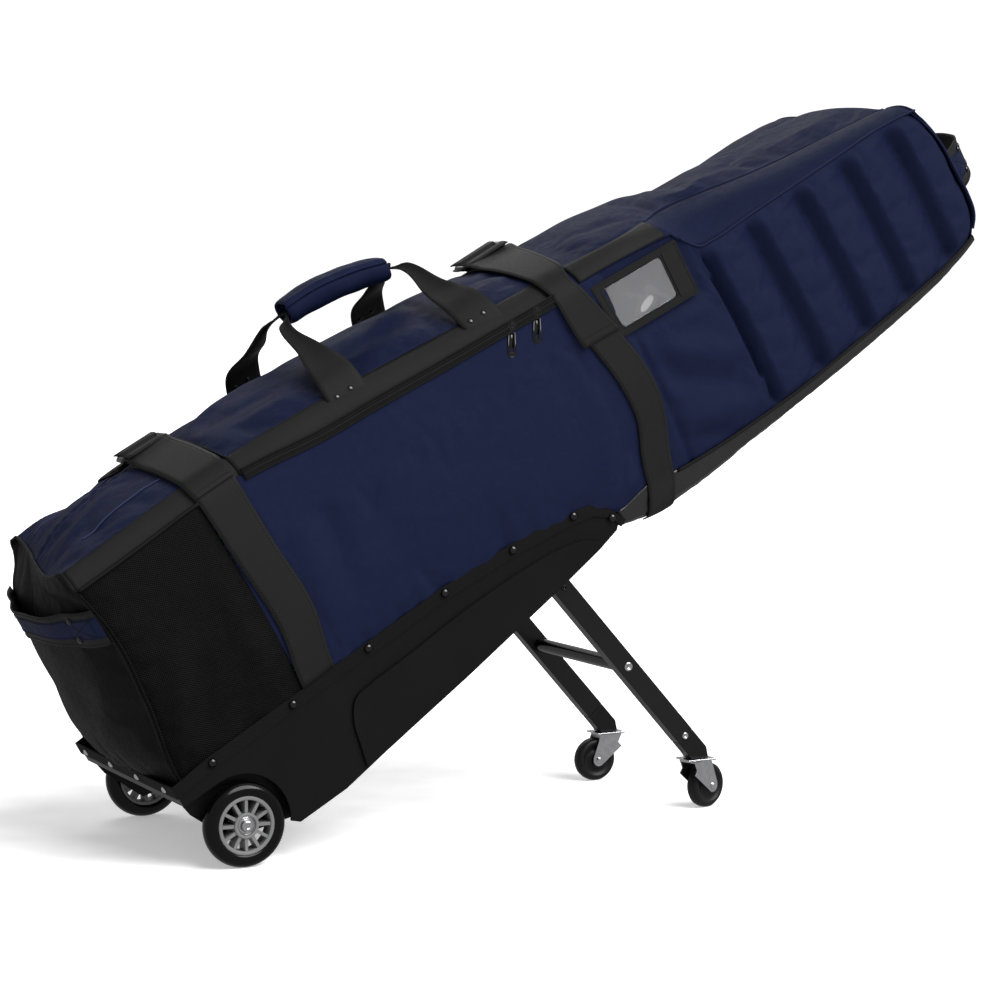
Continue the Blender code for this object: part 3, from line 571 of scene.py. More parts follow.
def film_material():
    paint = Paint("window_film", (0.9, 0.9, 0.92), 0.06, Transmission_Weight=1.0, IOR=1.45)
    base = paint.coordinates(False)
    ripple_height = paint.noise(base, 0.018, 2.0)
    scuff = paint.noise(base, 0.002, 5.0)
    paint.rough(scuff, 0.03, 0.14)
    paint.bump((ripple_height, 0.0009, 0.5))
    return paint.material


NAVY_COLOUR = (0.0056, 0.0086, 0.0300)
NAVY = cloth_material("navy_nylon", NAVY_COLOUR, 0.58, 0.0016, 0.00035, wrinkle=0.0010)
NAVY_TOP = cloth_material("navy_nylon_top", NAVY_COLOUR, 0.58, 0.0016, 0.00035, turn=90,
                          wrinkle=0.0016)
# Black cloth: at contrast 2.8, the tint on its dotted weave is partly the weave's own tone and
# partly a painted highlight on the dots.
BLACK = cloth_material("black_ballistic", (0.0021, 0.0021, 0.0022), 0.50, 0.0032, 0.00110,
                       dots=True, contrast=(0.20, 2.8))
WEBBING = webbing_material("black_webbing", (0.0085, 0.0085, 0.0084))
BINDING = webbing_material("black_binding", (0.0050, 0.0050, 0.0051), 0.0018, 0.6)
NAVY_BINDING = webbing_material("navy_binding", (0.0050, 0.0076, 0.0270), 0.0018, 0.6)
THREAD = plastic_material("black_thread", (0.0020, 0.0020, 0.0020), 0.7, 0.0006, 0.0001)
NAVY_THREAD = plastic_material("navy_thread", (0.016, 0.020, 0.058), 0.7, 0.0006, 0.0001)
LINING = cloth_material("grey_lining", (0.045, 0.045, 0.050), 0.8, 0.0030, 0.0004, wrinkle=0.002)
VINYL = plastic_material("glossy_vinyl", (0.0070, 0.0070, 0.0074), 0.26, 0.012, 0.0009, 0.10,
                         Specular_IOR_Level=0.55)
TRAY = plastic_material("moulded_tray", (0.0030, 0.0030, 0.0031), 0.36, 0.0011, 0.00022, 0.07,
                        Specular_IOR_Level=0.15)
TRIM = plastic_material("textured_trim", (0.0022, 0.0022, 0.0022), 0.75, 0.0022, 0.0016, 0.15,
                        Specular_IOR_Level=0.12)
GLOSS = plastic_material("gloss_black_plastic", (0.0030, 0.0030, 0.0030), 0.22, 0.004, 0.00008,
                         0.05, Specular_IOR_Level=0.45)
TYRE = plastic_material("polyurethane_tyre", (0.0013, 0.0013, 0.0014), 0.16, 0.006, 0.00006, 0.06,
                        Specular_IOR_Level=0.22)
HUB = plastic_material("grey_hub", (0.120, 0.120, 0.122), 0.42, 0.0012, 0.00015)
PAINT = plastic_material("black_leg_paint", (0.0035, 0.0035, 0.0035), 0.34, 0.0009, 0.00010, 0.06,
                         Specular_IOR_Level=0.30)
FOOT = plastic_material("black_foot_plastic", (0.0030, 0.0030, 0.0030), 0.40, 0.0010, 0.0002)
RUBBER = plastic_material("rubber_tread", (0.0050, 0.0050, 0.0052), 0.45, 0.0012, 0.0002)
STEEL = metal_material("bright_steel", (0.62, 0.62, 0.63), 0.22)
ZINC = metal_material("zinc_plate", (0.60, 0.60, 0.62), 0.24, 0.0030)
BLACK_METAL = metal_material("black_nickel", (0.050, 0.050, 0.052), 0.18)
CARD = plastic_material("grey_card", (0.20, 0.20, 0.205), 0.35, 0.03, 0.0004, 0.08)
FILM = film_material()


def hand_over(obj, body, *replaced, place=CASE):
    return settle(obj, body, replaced, place)

# The fabric body --------------------------------------------------------------------------------

NEAR_BASE_CORNER = ((0.06, -0.037), (0.09, -0.038), (0.19, -0.025), (0.275, -0.020),
                    (0.332, -0.027), (0.37, -0.035))
FAR_BASE_CORNER = ((0.06, -0.037), (0.09, -0.038), (0.19, -0.028), (0.26, -0.024),
                   (0.31, -0.015), (0.345, 0.004), (0.37, 0.012))
HOOD_CORNER = ((0.06, 1.236), (0.078, 1.245), (0.093, 1.257), (0.125, 1.263), (0.15, 1.261),
               (0.224, 1.251), (0.256, 1.236), (0.29, 1.214))
base_corner = {-1: curve(NEAR_BASE_CORNER), 1: curve(FAR_BASE_CORNER)}
hood_corner = curve(HOOD_CORNER)
SIDES = (("near", -1), ("far", 1))
CLOTH_STEP = 0.0055  # between a panel's points
HOOD_START = LID_END + 0.0015
BASE_TOP_END = 0.1992
HOLD_FADE = 0.016  # the width over which a pressed cloth comes free
WINDOW_BOX = (0.700, 0.832, 0.230, 0.308)
LID_EDGE_BOX = (LID_START, LID_END, 0.275, 0.360)
RIB_DEPTH = 0.0185
RIB_FACE = 0.0165  # the width of a rib's steep face
HOOD_END_SHARE, BASE_END_SHARE = 0.62, 0.88  # how much of an end's width the top takes
HOOD_END_DROP, BASE_END_DROP = 0.012, 0.016  # how far the top sinks at an end
SOFT = []


def sew(name, grid, material, body, *replaced, style=None, cap=0.0, thickness=SKIN):
    """Makes a panel. With a style it is simulated, and moves by cap at most."""
    SOFT.append((panel(name, grid, material, thickness), body, replaced, style, cap))


def steps(length, step=CLOTH_STEP):
    return max(4, round(length / step) + 1)


def arch(t, power):
    """0 at 0 and 1, and 1 between them, with shoulders that a low power makes steeper."""
    return np.sin(math.pi * np.clip(t, 0, 1)) ** power


def ripple(u, v, seed, size, count=5):
    """Gentle uneven waves, from -1 to 1."""
    draw = np.random.default_rng(seed)
    total = 0
    for _ in range(count):
        angle, phase = draw.uniform(0, math.pi), draw.uniform(0, 2 * math.pi)
        wave = size * draw.uniform(0.7, 1.6)
        reach = u * math.cos(angle) + v * math.sin(angle)
        total = total + np.sin(2 * math.pi * reach / wave + phase)
    return total / count


def folds(u, v, lines):
    """Soft ridges (or, with a negative height, creases) as (u0, v0, u1, v1, width, height)."""
    total = np.zeros_like(u)
    for u0, v0, u1, v1, width, height in lines:
        a, b = u1 - u0, v1 - v0
        span = a * a + b * b
        t = np.clip(((u - u0) * a + (v - v0) * b) / span, 0, 1)
        away = np.hypot(u - u0 - a * t, v - v0 - b * t)
        fade = np.sin(math.pi * np.clip(t * 0.86 + 0.07, 0, 1)) ** 0.8
        total += height * fade * np.exp(-((away / width) ** 2))
    return total


def side_grid(u, t, sign):
    """Points on a side panel, for t from its foot at 0 to its top edge at 1."""
    low, high = foot_v(u), side_top_v(u)
    v = low + (high - low) * t
    swell = bulge(u) * np.sin(math.pi * np.clip(t, 0, 1) ** 0.85) ** 0.9
    half = half_foot(u) * (1 - t) + half_top(u) * t + swell
    return sagged(np.stack([u, sign * half, v], -1))


def slope_grid(u, b, sign):
    """Points on the slope from the side's top edge at 0 to the shoulder at 1."""
    y = half_top(u) + (shoulder_y(u) - half_top(u)) * b
    v = side_top_v(u) + (shoulder_v(u) - side_top_v(u)) * b
    crown = 0.10 * np.hypot(half_top(u) - shoulder_y(u), shoulder_v(u) - side_top_v(u))
    lift = crown * np.sin(math.pi * b)
    return sagged(np.stack([u, sign * (y + lift * 0.7), v + lift * 0.7], -1))


def top_grid(u, w):
    """Points across the top, for w from -1 at the near shoulder to 1 at the far one."""
    y = shoulder_y(u) * w
    v = shoulder_v(u) + (crown_v(u) - shoulder_v(u)) * (1 - np.abs(w) ** 2.1)
    return sagged(np.stack([u, y, v], -1))


def held(u, v=None, sign=1):
    """0 where a strap or the name window presses on the cloth, 1 where it is free."""
    free = np.ones_like(u)
    for low, high in (LOWER_STRAP, (UPPER_STRAP[0] - 0.006, UPPER_STRAP[1] + 0.002)):
        away = np.maximum(np.maximum(low - u, u - high), 0)
        free = free * smoothstep(0.0, HOLD_FADE, away)
    if v is not None and sign < 0:
        for box in (WINDOW_BOX, LID_EDGE_BOX):
            away = np.maximum.reduce([box[0] - u, u - box[1], box[2] - v, v - box[3],
                                      np.zeros_like(u)])
            free = free * smoothstep(0.0, HOLD_FADE, away)
    return free


def facing_out(grid, sign):
    """Turns a side's grid over where it is needed, so that its normals point outwards."""
    return grid if sign < 0 else grid[:, ::-1]


def mesh_grid(us, ts):
    return np.meshgrid(us, ts, indexing="ij")


def base_sides():
    for name, sign in SIDES:
        a, t = mesh_grid(np.linspace(0, 1, steps(0.175)), np.linspace(0, 1, steps(0.27)))
        v_guess = 0.070 + 0.275 * t
        u = base_corner[sign](v_guess) + (0.142 - base_corner[sign](v_guess)) * a
        grid = side_grid(u, t, sign)
        v = grid[..., 2]
        rise = folds(u, v, (
            (-0.030, 0.085, 0.030, 0.215, 0.017, 0.0075),
            (-0.026, 0.080, 0.085, 0.150, 0.016, -0.0030),
            (0.010, 0.105, 0.060, 0.200, 0.014, -0.0035),
            (0.105, 0.110, 0.120, 0.300, 0.016, 0.0030),
            (0.080, 0.090, 0.128, 0.190, 0.014, 0.0025),
        ))
        edge = arch(a, 0.35) * arch(t, 0.3)
        rise = (rise * edge + 0.0012 * ripple(u, v, 11, 0.09) * edge) * held(u)
        grid[..., 1] += sign * (rise - 0.006 * (1 - a) ** 4)
        sew(f"{name}_base_cloth", facing_out(grid, sign), BLACK, "case", f"{name}_base_side",
            style="edges", cap=0.0018)


def main_sides():
    for name, sign in SIDES:
        u, t = mesh_grid(np.linspace(0.141, 0.703, steps(0.56)), np.linspace(0, 1, steps(0.27)))
        grid = side_grid(u, t, sign)
        v = grid[..., 2]
        rise = folds(u, v, (
            (0.215, 0.130, 0.240, 0.320, 0.016, 0.0028),
            (0.250, 0.150, 0.268, 0.315, 0.014, -0.0022),
            (0.285, 0.190, 0.300, 0.320, 0.016, 0.0020),
            (0.600, 0.070, 0.655, 0.250, 0.020, 0.0034),
            (0.560, 0.080, 0.640, 0.160, 0.016, -0.0030),
            (0.620, 0.060, 0.660, 0.110, 0.010, 0.0035),
            (0.590, 0.055, 0.655, 0.075, 0.010, 0.0030),
            (0.640, 0.200, 0.655, 0.300, 0.012, -0.0025),
            (0.480, 0.290, 0.640, 0.270, 0.022, 0.0015),
            (0.205, 0.085, 0.320, 0.120, 0.016, 0.0015),
        ))
        edge = arch(t, 0.4)
        rise = (rise * edge + 0.0011 * ripple(u, v, 23, 0.11) * edge) * held(u, v, sign)
        grid[..., 1] += sign * rise
        sew(f"{name}_main_cloth", facing_out(grid, sign), NAVY, "case", f"{name}_main_side",
            style="edges", cap=0.0016)


def rib_height(u, v):
    """The padded ribs of the hood: a steep face from each sewn seam, then a long gentle fall."""
    drop = side_top_v(np.maximum(u, 0.88)) - v
    total = np.zeros_like(u)
    sewn = [g + GROOVE_LEAN * drop * (0.5 if i == 0 else 1.0) for i, g in enumerate(GROOVES)]
    for left, right in zip(sewn, [*sewn[1:], np.full_like(u, 1.290)]):
        along = (u - left) / (right - left)
        face = np.clip((u - left) / RIB_FACE, 0, 1)
        fall = 1 - 0.95 * np.clip(along, 0, 1)**3.2
        total = np.where((along >= 0) & (along < 1), face * fall, total)
    ends = smoothstep(0.0, 0.010, v - foot_v(u)) * smoothstep(0.002, 0.024, drop)
    return RIB_DEPTH * (total - 1) * ends * (u > sewn[0]), sewn


def hood_sides():
    for name, sign in SIDES:
        a, t = mesh_grid(np.linspace(0, 1, steps(0.57, 0.0042)), np.linspace(0, 1, steps(0.24)))
        v_guess = 0.075 + 0.19 * t
        u = 0.701 + (hood_corner(v_guess) - 0.701) * a
        grid = side_grid(u, t, sign)
        v = grid[..., 2]
        plain = 1 - smoothstep(0.83, 0.87, u)
        rise = folds(u, v, (
            (0.735, 0.205, 0.845, 0.130, 0.016, 0.0055),
            (0.730, 0.165, 0.850, 0.085, 0.015, -0.0045),
            (0.725, 0.105, 0.845, 0.060, 0.016, 0.0050),
            (0.740, 0.070, 0.800, 0.050, 0.010, -0.0035),
            (0.730, 0.230, 0.760, 0.130, 0.013, -0.0035),
            (0.770, 0.215, 0.835, 0.205, 0.012, 0.0030),
        )) * plain
        edge = arch(t, 0.45)
        ribs, _ = rib_height(u, v)
        padding = 0.0060 * smoothstep(0.850, 0.880, u) * smoothstep(0.0, 0.012, v - foot_v(u))
        padding = padding * smoothstep(0.0, 0.020, side_top_v(u) - v)
        free = held(u, v, sign)
        rise = rise * free + padding + ribs + 0.0008 * ripple(u, v, 31, 0.06) * edge * free
        rise = rise - 0.0035 * (1 - free) * (u > 0.72)
        grid[..., 1] += sign * (rise - 0.008 * smoothstep(0.970, 1.0, a) ** 2)
        sew(f"{name}_hood_cloth", facing_out(grid, sign), NAVY, "case", f"{name}_hood_side",
            style="grooves", cap=0.0022)


def top_end_u(w):
    """Where the base's top ends, across it."""
    return -0.034 + 0.047 * smoothstep(-1, 1, w) - 0.006 * (1 - w * w)


def hood_top_end_u(w):
    return 1.243 + 0.040 * (1 - w * w)


def crumpled(u, y, w, lines, wave, seed, size, seam=0.0):
    """Folds and waves on a top panel, which fade towards both of its long edges."""
    return seam + folds(u, y, lines) + wave * ripple(u, y, seed, size) * (1 - w**4)


def base_top():
    a, w = mesh_grid(np.linspace(0, 1, steps(0.22)), np.linspace(-1, 1, steps(0.31)))
    u = top_end_u(w) + (BASE_TOP_END - top_end_u(w)) * a
    grid = top_grid(u, w)
    y = grid[..., 1]
    away = y - 0.004
    seam = -0.0030 * np.exp(-((away / 0.0045) ** 2)) + 0.0035 * np.exp(
        -(((np.abs(away) - 0.011) / 0.007) ** 2)) * (0.7 + 0.5 * np.sin(u * 420 + y * 60))
    rise = crumpled(u, y, w, (
        (0.010, -0.060, 0.110, -0.030, 0.014, 0.0030),
        (0.030, -0.130, 0.050, -0.030, 0.012, -0.0020),
        (0.060, 0.040, 0.110, 0.120, 0.018, 0.0030),
        (0.000, 0.060, 0.080, 0.070, 0.016, -0.0020),
    ), 0.0016, 41, 0.07, seam)
    grid[..., 2] += rise * held(u) - BASE_END_DROP * (1 - a) ** 5 * (1 - w * w)
    sew("base_top_cloth", grid, NAVY_TOP, "case", "base_top", style="edges", cap=0.0030)


def lid_top():
    u, w = mesh_grid(np.linspace(LID_START, LID_END, steps(0.45)),
                     np.linspace(-1, 1, steps(0.31)))
    grid = top_grid(u, w)
    rise = crumpled(u, grid[..., 1], w, (
        (0.215, -0.020, 0.330, 0.020, 0.013, 0.0050),
        (0.220, -0.050, 0.330, -0.075, 0.013, -0.0035),
        (0.240, -0.110, 0.350, -0.120, 0.014, 0.0040),
        (0.255, 0.040, 0.400, 0.030, 0.011, -0.0040),
        (0.400, -0.125, 0.530, -0.130, 0.018, 0.0045),
        (0.390, -0.095, 0.520, -0.075, 0.014, -0.0040),
        (0.400, -0.050, 0.560, -0.045, 0.018, 0.0035),
        (0.560, -0.120, 0.645, -0.090, 0.012, 0.0040),
        (0.575, -0.070, 0.648, -0.060, 0.011, -0.0030),
        (0.590, 0.000, 0.650, 0.030, 0.013, 0.0035),
        (0.300, 0.060, 0.560, 0.080, 0.020, 0.0035),
        (0.210, 0.100, 0.420, 0.110, 0.017, -0.0030),
        (0.210, 0.005, 0.330, 0.045, 0.006, -0.0030),
    ), 0.0022, 47, 0.075)
    grid[..., 2] += rise * held(u)
    sew("lid_cloth", grid, NAVY_TOP, "lid", "lid_panel", style="edges", cap=0.0035)


def hood_top():
    a, w = mesh_grid(np.linspace(0, 1, steps(0.6)), np.linspace(-1, 1, steps(0.31)))
    u = HOOD_START + (hood_top_end_u(w) - HOOD_START) * a
    grid = top_grid(u, w)
    rise = crumpled(u, grid[..., 1], w, (
        (0.730, -0.120, 0.800, -0.020, 0.016, 0.0030),
        (0.740, -0.080, 0.830, -0.110, 0.012, -0.0025),
        (0.830, -0.130, 0.900, 0.000, 0.016, -0.0060),
        (0.890, -0.090, 1.020, -0.060, 0.018, 0.0040),
        (0.960, -0.080, 1.060, -0.020, 0.012, -0.0030),
        (1.060, -0.085, 1.190, -0.060, 0.018, 0.0040),
        (0.900, 0.020, 1.200, 0.040, 0.028, 0.0030),
        (0.860, 0.110, 1.050, 0.060, 0.016, -0.0030),
    ), 0.0020, 53, 0.085)
    grid[..., 2] += (rise * held(u)
                     - HOOD_END_DROP * smoothstep(0.93, 1.0, a) ** 2 * (1 - w * w))
    sew("hood_top_cloth", grid, NAVY_TOP, "case", "hood_top", style="edges", cap=0.0035)


def base_slope_end(b, sign):
    """Where the base's slope ends along the case, at b up from the side's top edge."""
    return base_corner[sign](0.35 + 0 * b)


def hood_slope_end(b, _):
    return 1.236 + 0.007 * b


def slopes():
    """The bands between the sides and the top."""
    for label, start, end, length, body, material, thickness in (
        ("base_band", None, BASE_TOP_END, 0.1992, "case", WEBBING, WEB),
        ("lid_band", LID_START, LID_END, LID_END - LID_START, "lid", WEBBING, WEB),
        ("hood_slope", HOOD_START, None, 1.25 - HOOD_START, "case", NAVY, SKIN),
    ):
        for name, sign in SIDES:
            a, b = mesh_grid(np.linspace(0, 1, steps(length)), np.linspace(0, 1, 9))
            first = base_slope_end(b, sign) if start is None else start
            last = hood_slope_end(b, sign) if end is None else end
            u = first + (last - first) * a
            grid = slope_grid(u, b, sign)
            grid[..., 2] += 0.0008 * ripple(u, b * 0.03, 61, 0.05) * np.sin(math.pi * b)
            sew(f"{name}_{label}_cloth", facing_out(grid, sign), material, body,
                *(["lid_band"] if label == "lid_band" and sign < 0 else []), thickness=thickness)
    for name, sign in SIDES:
        u, b = mesh_grid(np.linspace(0.690, 0.824, 30), np.linspace(0.02, 0.98, 7))
        grid = raised(facing_out(slope_grid(u, b, sign), sign), 0.0022)
        sew(f"{name}_hood_band", grid, WEBBING, "case", thickness=WEB)


def end_rim(s, share, sign_u, top_u, slope_u, drop):
    """The line where an end panel meets the slopes and the top, for s from -1 to 1 across."""
    w, b = np.clip(s / share, -1, 1), np.clip((1 - np.abs(s)) / (1 - share), 0, 1)
    top = top_grid(top_u(w), w)
    top[..., 2] -= drop * (1 - w * w)
    near, far = (slope_grid(slope_u(b, sign), b, sign) for sign in (-1, 1))
    slope = np.where((s < 0)[..., None], near, far)
    line = np.where((np.abs(s) <= share)[..., None], top, slope)
    line[..., 0] += sign_u * 0.0012
    return line


def base_rim(s):
    return end_rim(s, BASE_END_SHARE, -1, top_end_u, base_slope_end, BASE_END_DROP)


def hood_rim(s):
    return end_rim(s, HOOD_END_SHARE, 1, hood_top_end_u, hood_slope_end, HOOD_END_DROP)


def base_end():
    t, s = mesh_grid(np.linspace(0, 1, steps(0.29)), np.linspace(-1, 1, steps(0.31)))
    top_v = 0.362 + 0.008 * (1 - s * s)
    v = 0.074 + (top_v - 0.074) * t
    share = (s + 1) / 2
    corner = base_corner[-1](v) * (1 - share) + base_corner[1](v) * share
    half = half_foot(-0.035) + 0.0015 + 0.006 * np.sin(math.pi * t)
    bow = 0.026 * (1 - s * s) ** 0.8 * np.sin(math.pi * np.clip(0.12 + 0.80 * t, 0, 1)) ** 0.8
    grid = np.stack([corner - bow, half * s, v], -1)
    grid += (base_rim(s) - grid[-1:]) * (t**4)[..., None]
    y = grid[..., 1]
    rise = folds(y, v, (
        (-0.150, 0.340, -0.030, 0.352, 0.010, 0.0040),
        (-0.130, 0.330, 0.040, 0.335, 0.012, -0.0035),
        (-0.140, 0.240, -0.020, 0.120, 0.020, 0.0030),
        (-0.100, 0.100, 0.060, 0.095, 0.020, 0.0025),
        (0.020, 0.200, 0.130, 0.120, 0.022, 0.0025),
        (0.060, 0.330, 0.130, 0.300, 0.012, 0.0030),
    ))
    edge = arch(t, 0.4) * (1 - s**8)
    grid[..., 0] -= (rise + 0.0015 * ripple(y, v, 71, 0.10)) * edge
    sew("base_end_cloth", grid, BLACK, "case", "base_end", style="edges", cap=0.004)


def hood_end():
    t, s = mesh_grid(np.linspace(0, 1, steps(0.19)), np.linspace(1, -1, steps(0.31)))
    top_v = 0.262 + 0.010 * (1 - s * s)
    v = 0.068 + (top_v - 0.068) * t
    bow = (0.012 + 0.020 * smoothstep(0, 0.25, t) + 0.010 * t) * (1 - np.abs(s) ** 3)
    grid = np.stack([hood_corner(v) + 0.001 + bow, 0.1605 * s, v], -1)
    grid += (hood_rim(s) - grid[-1:]) * (t**4)[..., None]
    y = grid[..., 1]
    rise = folds(y, v, ((-0.130, 0.230, 0.020, 0.245, 0.014, 0.0040),
                        (-0.060, 0.110, 0.120, 0.120, 0.016, 0.0030),
                        (0.050, 0.240, 0.130, 0.150, 0.014, -0.0030)))
    grid[..., 0] += (rise + 0.0015 * ripple(y, v, 73, 0.08)) * (1 - s**6)
    sew("hood_end_cloth", grid, NAVY, "case", "hood_end", style="edges", cap=0.004)


def underside():
    """The glossy coated cloth under the hood, wrapped a little way up both sides."""
    half = ((-1.0, 1.0), (-1.0, 0.55), (-0.995, 0.22), (-0.965, 0.06), (-0.90, 0.0),
            (-0.60, -0.10), (-0.30, -0.12))
    round_it = np.array([*half, (0.0, -0.12), *[(-share, rise) for share, rise in half[::-1]]])
    count = 90
    dense = np.linspace(0, len(round_it) - 1, count)
    share, rise = (np.interp(dense, np.arange(len(round_it)), round_it[:, k]) for k in (0, 1))
    u, k = mesh_grid(np.linspace(0.603, 1.243, steps(0.65, 0.0045)), np.arange(count))
    end = 0.012 * (1 - np.abs(share[k]) ** 3) + hood_corner(0.0765 * np.ones_like(u)) + 0.001
    u = u + (end - 1.243) * smoothstep(1.15, 1.243, u)
    low, high = belly_v(u), foot_v(u) + 0.001
    v = low + (high - low) * rise[k]
    y = share[k] * (half_foot(u) + 0.0012)
    wrinkle = 0.0016 * ripple(u * 1.0, k * 0.0035, 83, 0.045, 7) + 0.0010 * ripple(
        u, k * 0.0035, 85, 0.018, 6)
    pull = np.clip(1 - np.abs(share[k]) ** 12, 0, 1)
    grid = np.stack([u, y, v], -1)[:, ::-1]
    grid = raised(grid, (wrinkle * (0.35 + 0.65 * pull))[:, ::-1])
    sew("hood_underside_cloth", grid, VINYL, "case", "hood_underside", thickness=0.0016)


def top_height(us, ys):
    """How high the finished base top is at some places."""
    piece = bpy.data.objects["base_top_cloth"]
    back = CASE.inverted()
    co = np.array([back @ v.co for v in piece.data.vertices])
    found = []
    for u, y in zip(us, ys):
        away = (co[:, 0] - u) ** 2 + (co[:, 1] - y) ** 2
        near = np.argsort(away)[:4]
        found.append(co[near, 2].mean())
    found = np.array(found)
    found[1:-1] = (found[:-2] + 2 * found[1:-1] + found[2:]) / 4
    return found


def seams():
    """Piping and sewn lines on the body, joined by colour."""
    lines = []
    for _, sign in SIDES:
        # The base side's top edge and corner.
        u = np.linspace(float(base_corner[sign](0.345)) + 0.002, 0.141, 40)
        path = side_grid(u, np.ones_like(u), sign) + np.array([0, sign * 0.0012, 0])
        lines.append(("black", path, 0.0019))
        v = np.linspace(0.085, 0.352, 50)
        corner = side_grid(base_corner[sign](v), np.clip((v - 0.070) / 0.275, 0, 1), sign)
        corner = sagged(np.stack([corner[:, 0], corner[:, 1], v], -1))
        corner[:, 1] = sign * (np.abs(corner[:, 1]) - 0.0035)
        corner[:, 0] -= 0.0015
        lines.append(("black", corner, 0.0024))
        # The hood slope's two edges, and the hood side's foot and end.
        u = np.linspace(0.826, 1.238, 90)
        lines.append(("navy", slope_grid(u, np.ones_like(u), sign), 0.0016))
        lines.append(("navy", side_grid(u[3:], np.ones_like(u[3:]), sign)
                      + np.array([0, sign * 0.0006, 0.0006]), 0.0016))
        u = np.linspace(0.700, 1.243, 110)
        lines.append(("black", side_grid(u, np.zeros_like(u), sign)
                      + np.array([0, sign * 0.0020, 0]), 0.0022))
        v = np.linspace(0.082, 0.262, 40)
        end = np.stack([hood_corner(v) + 0.0015, np.full(40, sign * 0.1615), v], -1)
        lines.append(("navy", end, 0.0018))
        # A sewn line on the base's top.
        u, y = np.linspace(0.02, 0.136, 30), np.full(30, sign * 0.100)
        lines.append(("pale", np.stack([u, y, top_height(u, y) + 0.0006], -1), 0.0010))
    across = np.linspace(-1, 1, 90)
    lines.append(("black", base_rim(across) + np.array([0, 0, 0.0008]), 0.0022))
    lines.append(("navy", hood_rim(across) - np.array([0.0005, 0, 0.0004]), 0.0016))
    for colour, material in (("black", BINDING), ("navy", NAVY_BINDING), ("pale", NAVY_THREAD)):
        made = [tube(f"{colour}_{i}", path, radius, material)
                for i, (kind, path, radius) in enumerate(lines) if kind == colour]
        hand_over(join(f"{colour}_piping", made), "case")


# Cloth simulation -------------------------------------------------------------------------------

def pin_weights(obj, style):
    """1 where a panel is sewn down, and 0 where the cloth may move."""
    shape = bmesh.new()
    shape.from_mesh(obj.data)
    weights = np.array([float(vert.is_boundary) for vert in shape.verts])
    shape.free()
    co = np.array([v.co for v in obj.data.vertices])
    side = np.abs(co[:, 1]).min() > 0.12
    sign = np.sign(co[:, 1].mean()) if side else 1
    free = held(co[:, 0], co[:, 2] if side else None, sign)
    if np.ptp(co[:, 0]) > 0.1:
        weights = np.maximum(weights, 1 - free)
    if style == "grooves":
        for seam in rib_height(co[:, 0], co[:, 2])[1]:
            across = co[:, 0] - seam
            weights[(across > -0.006) & (across < 0.019)] = 1
    return weights


def inflate():
    """Lets every styled panel swell and pucker between its seams, then keeps the result."""
    frames = 20
    moving = [(piece, style, cap) for piece, _, _, style, cap in SOFT if style]
    rest = {}
    for piece, style, cap in moving:
        piece.modifiers.clear()
        group = piece.vertex_groups.new(name="sewn")
        for i, weight in enumerate(pin_weights(piece, style)):
            group.add([i], float(weight), "REPLACE")
        rest[piece.name] = np.array([v.co for v in piece.data.vertices])
        change = piece.modifiers.new("Cloth", "CLOTH")
        cloth = change.settings
        cloth.vertex_group_mass = "sewn"
        cloth.quality = 5
        cloth.mass = 0.25
        cloth.tension_stiffness = cloth.compression_stiffness = 25
        cloth.shear_stiffness = 12
        cloth.bending_stiffness = 1.2
        cloth.air_damping = 2
        cloth.shrink_min = cloth.shrink_max = -0.010
        cloth.use_pressure = True
        cloth.uniform_pressure_force = 1.2
        cloth.effector_weights.gravity = 0
        change.collision_settings.use_collision = False
        change.point_cache.frame_start = 1
        change.point_cache.frame_end = frames
    scene = bpy.context.scene
    for i in range(1, frames + 1):
        scene.frame_set(i)
    graph = bpy.context.evaluated_depsgraph_get()
    for piece, _, cap in moving:
        moved = piece.evaluated_get(graph).to_mesh()
        now = np.array([v.co for v in moved.vertices])
        step = now - rest[piece.name]
        size = np.linalg.norm(step, axis=1, keepdims=True)
        step *= np.minimum(1, cap / np.maximum(size, 1e-9))
        piece.modifiers.clear()
        piece.vertex_groups.clear()
        piece.data.vertices.foreach_set("co", (rest[piece.name] + step).ravel())
        piece.data.update()
        thicken(piece, SKIN)
        subdivided(piece)
        piece.modifiers.move(1, 0)
    scene.frame_set(1)


def hand_over_body():
    for piece, body, replaced, _, _ in SOFT:
        if piece.name == "far_lid_band_cloth":  # the cloth that the lid hinges on
            piece.data.transform(CASE)
            foot, top = slope_grid(np.full(2, 0.42), np.array([0.0, 1.0]), 1)
            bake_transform(piece)
        else:
            hand_over(piece, body, *replaced)


base_sides()
main_sides()
hood_sides()
base_top()
lid_top()
hood_top()
slopes()
base_end()
hood_end()
underside()
inflate()
hand_over_body()
seams()

# Webbing ----------------------------------------------------------------------------------------

def section(u, s):
    """Points round the case: s is 0 to 1 up the near side, 1 to 2 over its slope, 2 to 4 across
    the top, and 4 to 6 down the far side."""
    near, near_slope = side_grid(u, np.clip(s, 0, 1), -1), slope_grid(u, np.clip(s - 1, 0, 1), -1)
    below = np.clip(-np.minimum(s, 6 - s), 0, 1)
    top = top_grid(u, np.clip(s - 3, -1, 1))
    far_slope = slope_grid(u, np.clip(5 - s, 0, 1), 1)
    far = side_grid(u, np.clip(6 - s, 0, 1), 1)
    made = near
    for start, part in ((1, near_slope), (2, top), (4, far_slope), (5, far)):
        made = np.where((s >= start)[..., None], part, made)
    made[..., 1] += np.sign(made[..., 1]) * (0.0015 * smoothstep(0, 0.3, below)
                                             - 0.020 * smoothstep(0.78, 1.1, below))
    made[..., 2] -= np.minimum(below / 0.9, 1) * (foot_v(u) - belly_v(u))
    return made


